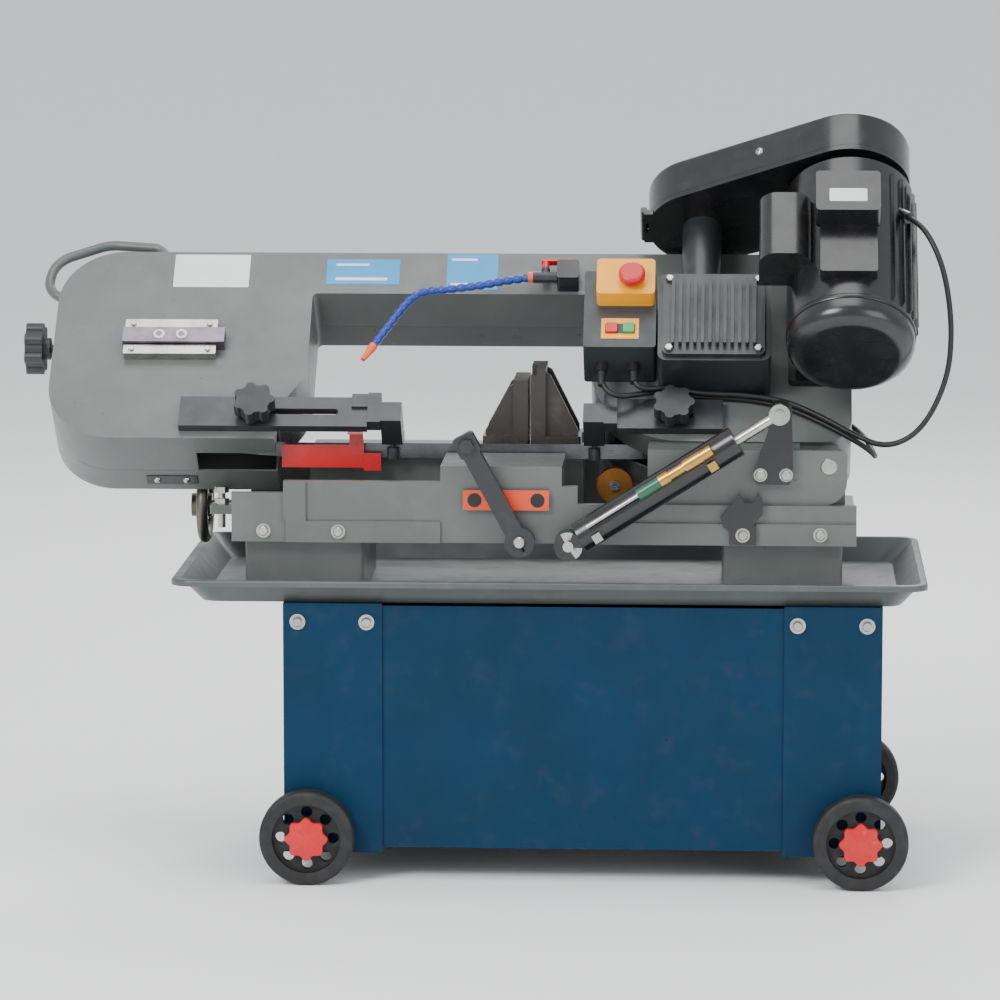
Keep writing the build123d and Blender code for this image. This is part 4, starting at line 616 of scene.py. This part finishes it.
# ---- labels, all blank or with plain marks ----
LABEL = 0.5


def face_plate(name, x_range, z_range, look, body="head", q=FACE, corner=2, thickness=LABEL):
    middle = head(sum(x_range) / 2, sum(z_range) / 2, q)
    mesh = plate(middle, ALONG, UP, x_range[1] - x_range[0], z_range[1] - z_range[0], thickness, corner,
                 min(0.2, thickness / 3))
    return piece(name, mesh, look, body)


face_plate("white_label", (-421, -316), (99, 157), "white")
face_plate("cyan_label_left", (-209, -107), (105, 150), "cyan")
face_plate("cyan_label_right", (-42, 29), (96, 160), "cyan")
STRIPE = 0.25
for name, x_range, z_range in (("stripe_a", (-196, -124), (112, 117)),
                               ("stripe_b", (-196, -150), (138, 142)),
                               ("stripe_c", (-36, 22), (103, 108)),
                               ("stripe_d", (-36, 0), (148, 152))):
    face_plate(name, x_range, z_range, "white", q=FACE + LABEL, corner=0.8, thickness=STRIPE)
BUTTON_FRAME = 133
for name, x_range, z_range in (("button_frame_top", (177, 228), (-24.5, -15)),
                               ("button_frame_bottom", (177, 228), (-50, -41.5)),
                               ("button_frame_left", (177, 182.5), (-42, -24)),
                               ("button_frame_right", (222.5, 228), (-42, -24))):
    face_plate(name, x_range, z_range, "yellow", q=BUTTON_FRAME, corner=1, thickness=1.0)
bed_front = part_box("bed")[0][1]
label_spot = Vector((0.055, bed_front, 0.509))
piece("orange_label", plate(label_spot, ALONG, SKY, 115, 27, LABEL, 2, 0.15), "orange", "root")
for side in (-1, 1):
    spot = label_spot + Vector((side * 0.042, -0.0005, 0))
    piece(f"label_ring_{'left' if side < 0 else 'right'}",
          turned([(9.5, 0), (9.5, 0.25), (7.6, 0.25), (7.6, 0.05)], spot, FRONT),
          "black_plastic", "root")
TERMINAL_FACE = 320
face_plate("terminal_label", (482, 532), (36, 58), "white", q=TERMINAL_FACE)

# ---- hub caps of the castor wheels ----
WHEEL_RADIUS = 0.0635
CAP_PROFILE = [(26, -3), (27, 0), (26, 3), (18, 4.5), (16, 5.5), (0.8, 5.5)]
for axle, axle_x in (("left", -0.207), ("right", 0.529)):
    wheel_low, wheel_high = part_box(f"{axle}_wheels")
    for place_name, y, way in (("front", wheel_low[1], FRONT), ("rear", wheel_high[1], -FRONT)):
        cap = turned(CAP_PROFILE, Vector((axle_x, y, WHEEL_RADIUS)), way, 96, 8, 0.09)
        piece(f"{axle}_{place_name}_cap", cap, "red", f"{axle}_wheels")

# ---- motor: cooling ribs along the frame and a seam round the fan cover ----
MOTOR_X = 512
MOTOR_Q = 192
MOTOR_RADIUS = 85.5


def on_motor(turn, reach, z):
    return head(MOTOR_X + reach * cos(turn), z, MOTOR_Q + reach * sin(turn))


def rib_mesh(turn, low, high, root, tip, half):
    """One tapered rib along the motor, as a closed wedge with a narrow crest."""
    bm = bmesh.new()
    rings = []
    for z, crest in ((low, root + 0.4), (low + 5, tip), (high - 5, tip), (high, root + 0.4)):
        spread = half / root
        rings.append([bm.verts.new(on_motor(turn + side * spread * share, reach, z))
                      for side, share, reach in ((-1, 1, root - 0.6), (-1, 0.55, crest), (1, 0.55, crest),
                                                 (1, 1, root - 0.6))])
    bridge(bm, rings)
    bm.faces.new(rings[0])
    bm.faces.new(rings[-1])
    bmesh.ops.recalc_face_normals(bm, faces=bm.faces)
    return finished(bm, "rib")


RIBS = 13
FIRST_RIB = -88                 # degrees round the motor
RIB_STEP = 11.5
RIB_LOW = -84
RIB_HIGH = 140
RIB_DEPTH = 5
RIB_HALF = 1.7
ribs = [rib_mesh(radians(FIRST_RIB + RIB_STEP * k), RIB_LOW, RIB_HIGH, MOTOR_RADIUS,
                 MOTOR_RADIUS + RIB_DEPTH, RIB_HALF) for k in range(RIBS)]
piece("motor_ribs", joined(ribs), "black", "head")
SEAM_LOW = -94
SEAM_HIGH = -87
seam_profile = [(MOTOR_RADIUS - 1, SEAM_LOW), (MOTOR_RADIUS + 0.9, SEAM_LOW), (MOTOR_RADIUS + 1.6, -92.8),
                (MOTOR_RADIUS + 1.6, -88.2), (MOTOR_RADIUS + 0.9, SEAM_HIGH), (MOTOR_RADIUS - 1, SEAM_HIGH)]
piece("fan_cover_seam", turned(seam_profile, head(MOTOR_X, 0, MOTOR_Q), UP, 96), "black", "head")


def cap_screw(place, way, radius, height):
    """A socket screw: a knurled round head with a chamfered rim and a deep socket."""
    outline = [(radius, 0), (radius, height - 0.6), (radius - 0.6, height), (radius * 0.5, height),
               (radius * 0.46, height * 0.45)]
    return turned(outline, place, way, 48, 24, 0.012)


def dome_screw(place, way, radius, height):
    outline = [(radius * cos(t), height * sin(t)) for t in (0, 0.3, 0.6, 0.9, 1.2)]
    outline += [(radius * 0.25, height * 0.97), (radius * 0.2, height * 0.5)]
    return turned(outline, place, way, 32)


# Socket screws on the tension slide.
SLIDE_FACE = FACE + 14
screws = [cap_screw(head(x, 0, SLIDE_FACE), OUT, 8.5, 6) for x in (-431, -400)]
piece("slide_screws", joined(screws), "steel", "tension_slide")

# ---- steel and brass on the cylinder's return line ----
FOOT = Vector((0.1394, -0.185, 0.454))
LEAN_WAY = Vector((278.1, 0, 176)).normalized()
LEAN_SIDE = Vector((-LEAN_WAY.z, 0, LEAN_WAY.x))
BODY_RADIUS = 21.3


def on_line(point, low, high):
    away = (Vector(point) - FOOT) * 1000
    along, side, front = away.dot(LEAN_WAY), away.dot(LEAN_SIDE), -away.y
    return hypot(side, front) > BODY_RADIUS and front > 8 and low <= along <= high


LOOKS["valve_green"] = paint("valve_enamel", 0x1f5a41, 0.3, 500, 0.0001, 0.3, 0.05)
VALVE_LOW = 116
VALVE_HIGH = 150
LINE_END = 400
for look, low, high in (("steel", 0, VALVE_LOW), ("valve_green", VALVE_LOW, VALVE_HIGH),
                        ("brass", VALVE_HIGH, LINE_END)):
    repaint("hydraulic_cylinder", look, lambda p, low=low, high=high: on_line(p, low, high))

# ---- wire brush: a ring of bristles on a steel hub ----
BRUSH = Vector((0.196, 0.001, 0.509))
bristles = piece("brush_bristles", turned([(9, -0.5), (24, 0), (25, 1.5), (25, 10.5), (24, 12), (9, 12.5)],
                                          BRUSH, FRONT, 288, 72, 0.025), "bronze", "brush")
brush_hub = turned([(4, -10), (4, -3.5), (7.4, -3.5), (8, -3), (8, 13.8), (7.4, 14.4), (3.5, 14.4),
                    (3.2, 13)], BRUSH, FRONT)
piece("brush_hub", brush_hub, "steel", "brush")
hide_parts("wire_brush")

# ---- latch plate of the rear cover, screw of the belt cover, strap that holds the hank ----
LATCH_Z = -165
LATCH_Q = -36
piece("latch_plate", plate(head(-410, LATCH_Z, LATCH_Q), ALONG, OUT, 71, 18, 1.5, 2), "black", "head")
latch_screws = [dome_screw(head(x, LATCH_Z - 1.5, LATCH_Q), -UP, 5, 3.2) for x in (-430, -390)]
piece("latch_screws", joined(latch_screws), "steel", "head")
lid_screw_way = ALONG * -0.397 + OUT * 0.918
piece("belt_lid_screw", dome_screw(head(388.8, 206, 223.5), lid_screw_way, 6, 3.5),
      "steel", "belt_lid")
piece("hank_strap", plate(Vector((0.434, 0.140, 0.6055)), (0, 1, 0), SKY, 8, 28, 12, 1.5), "black_plastic",
      "head")
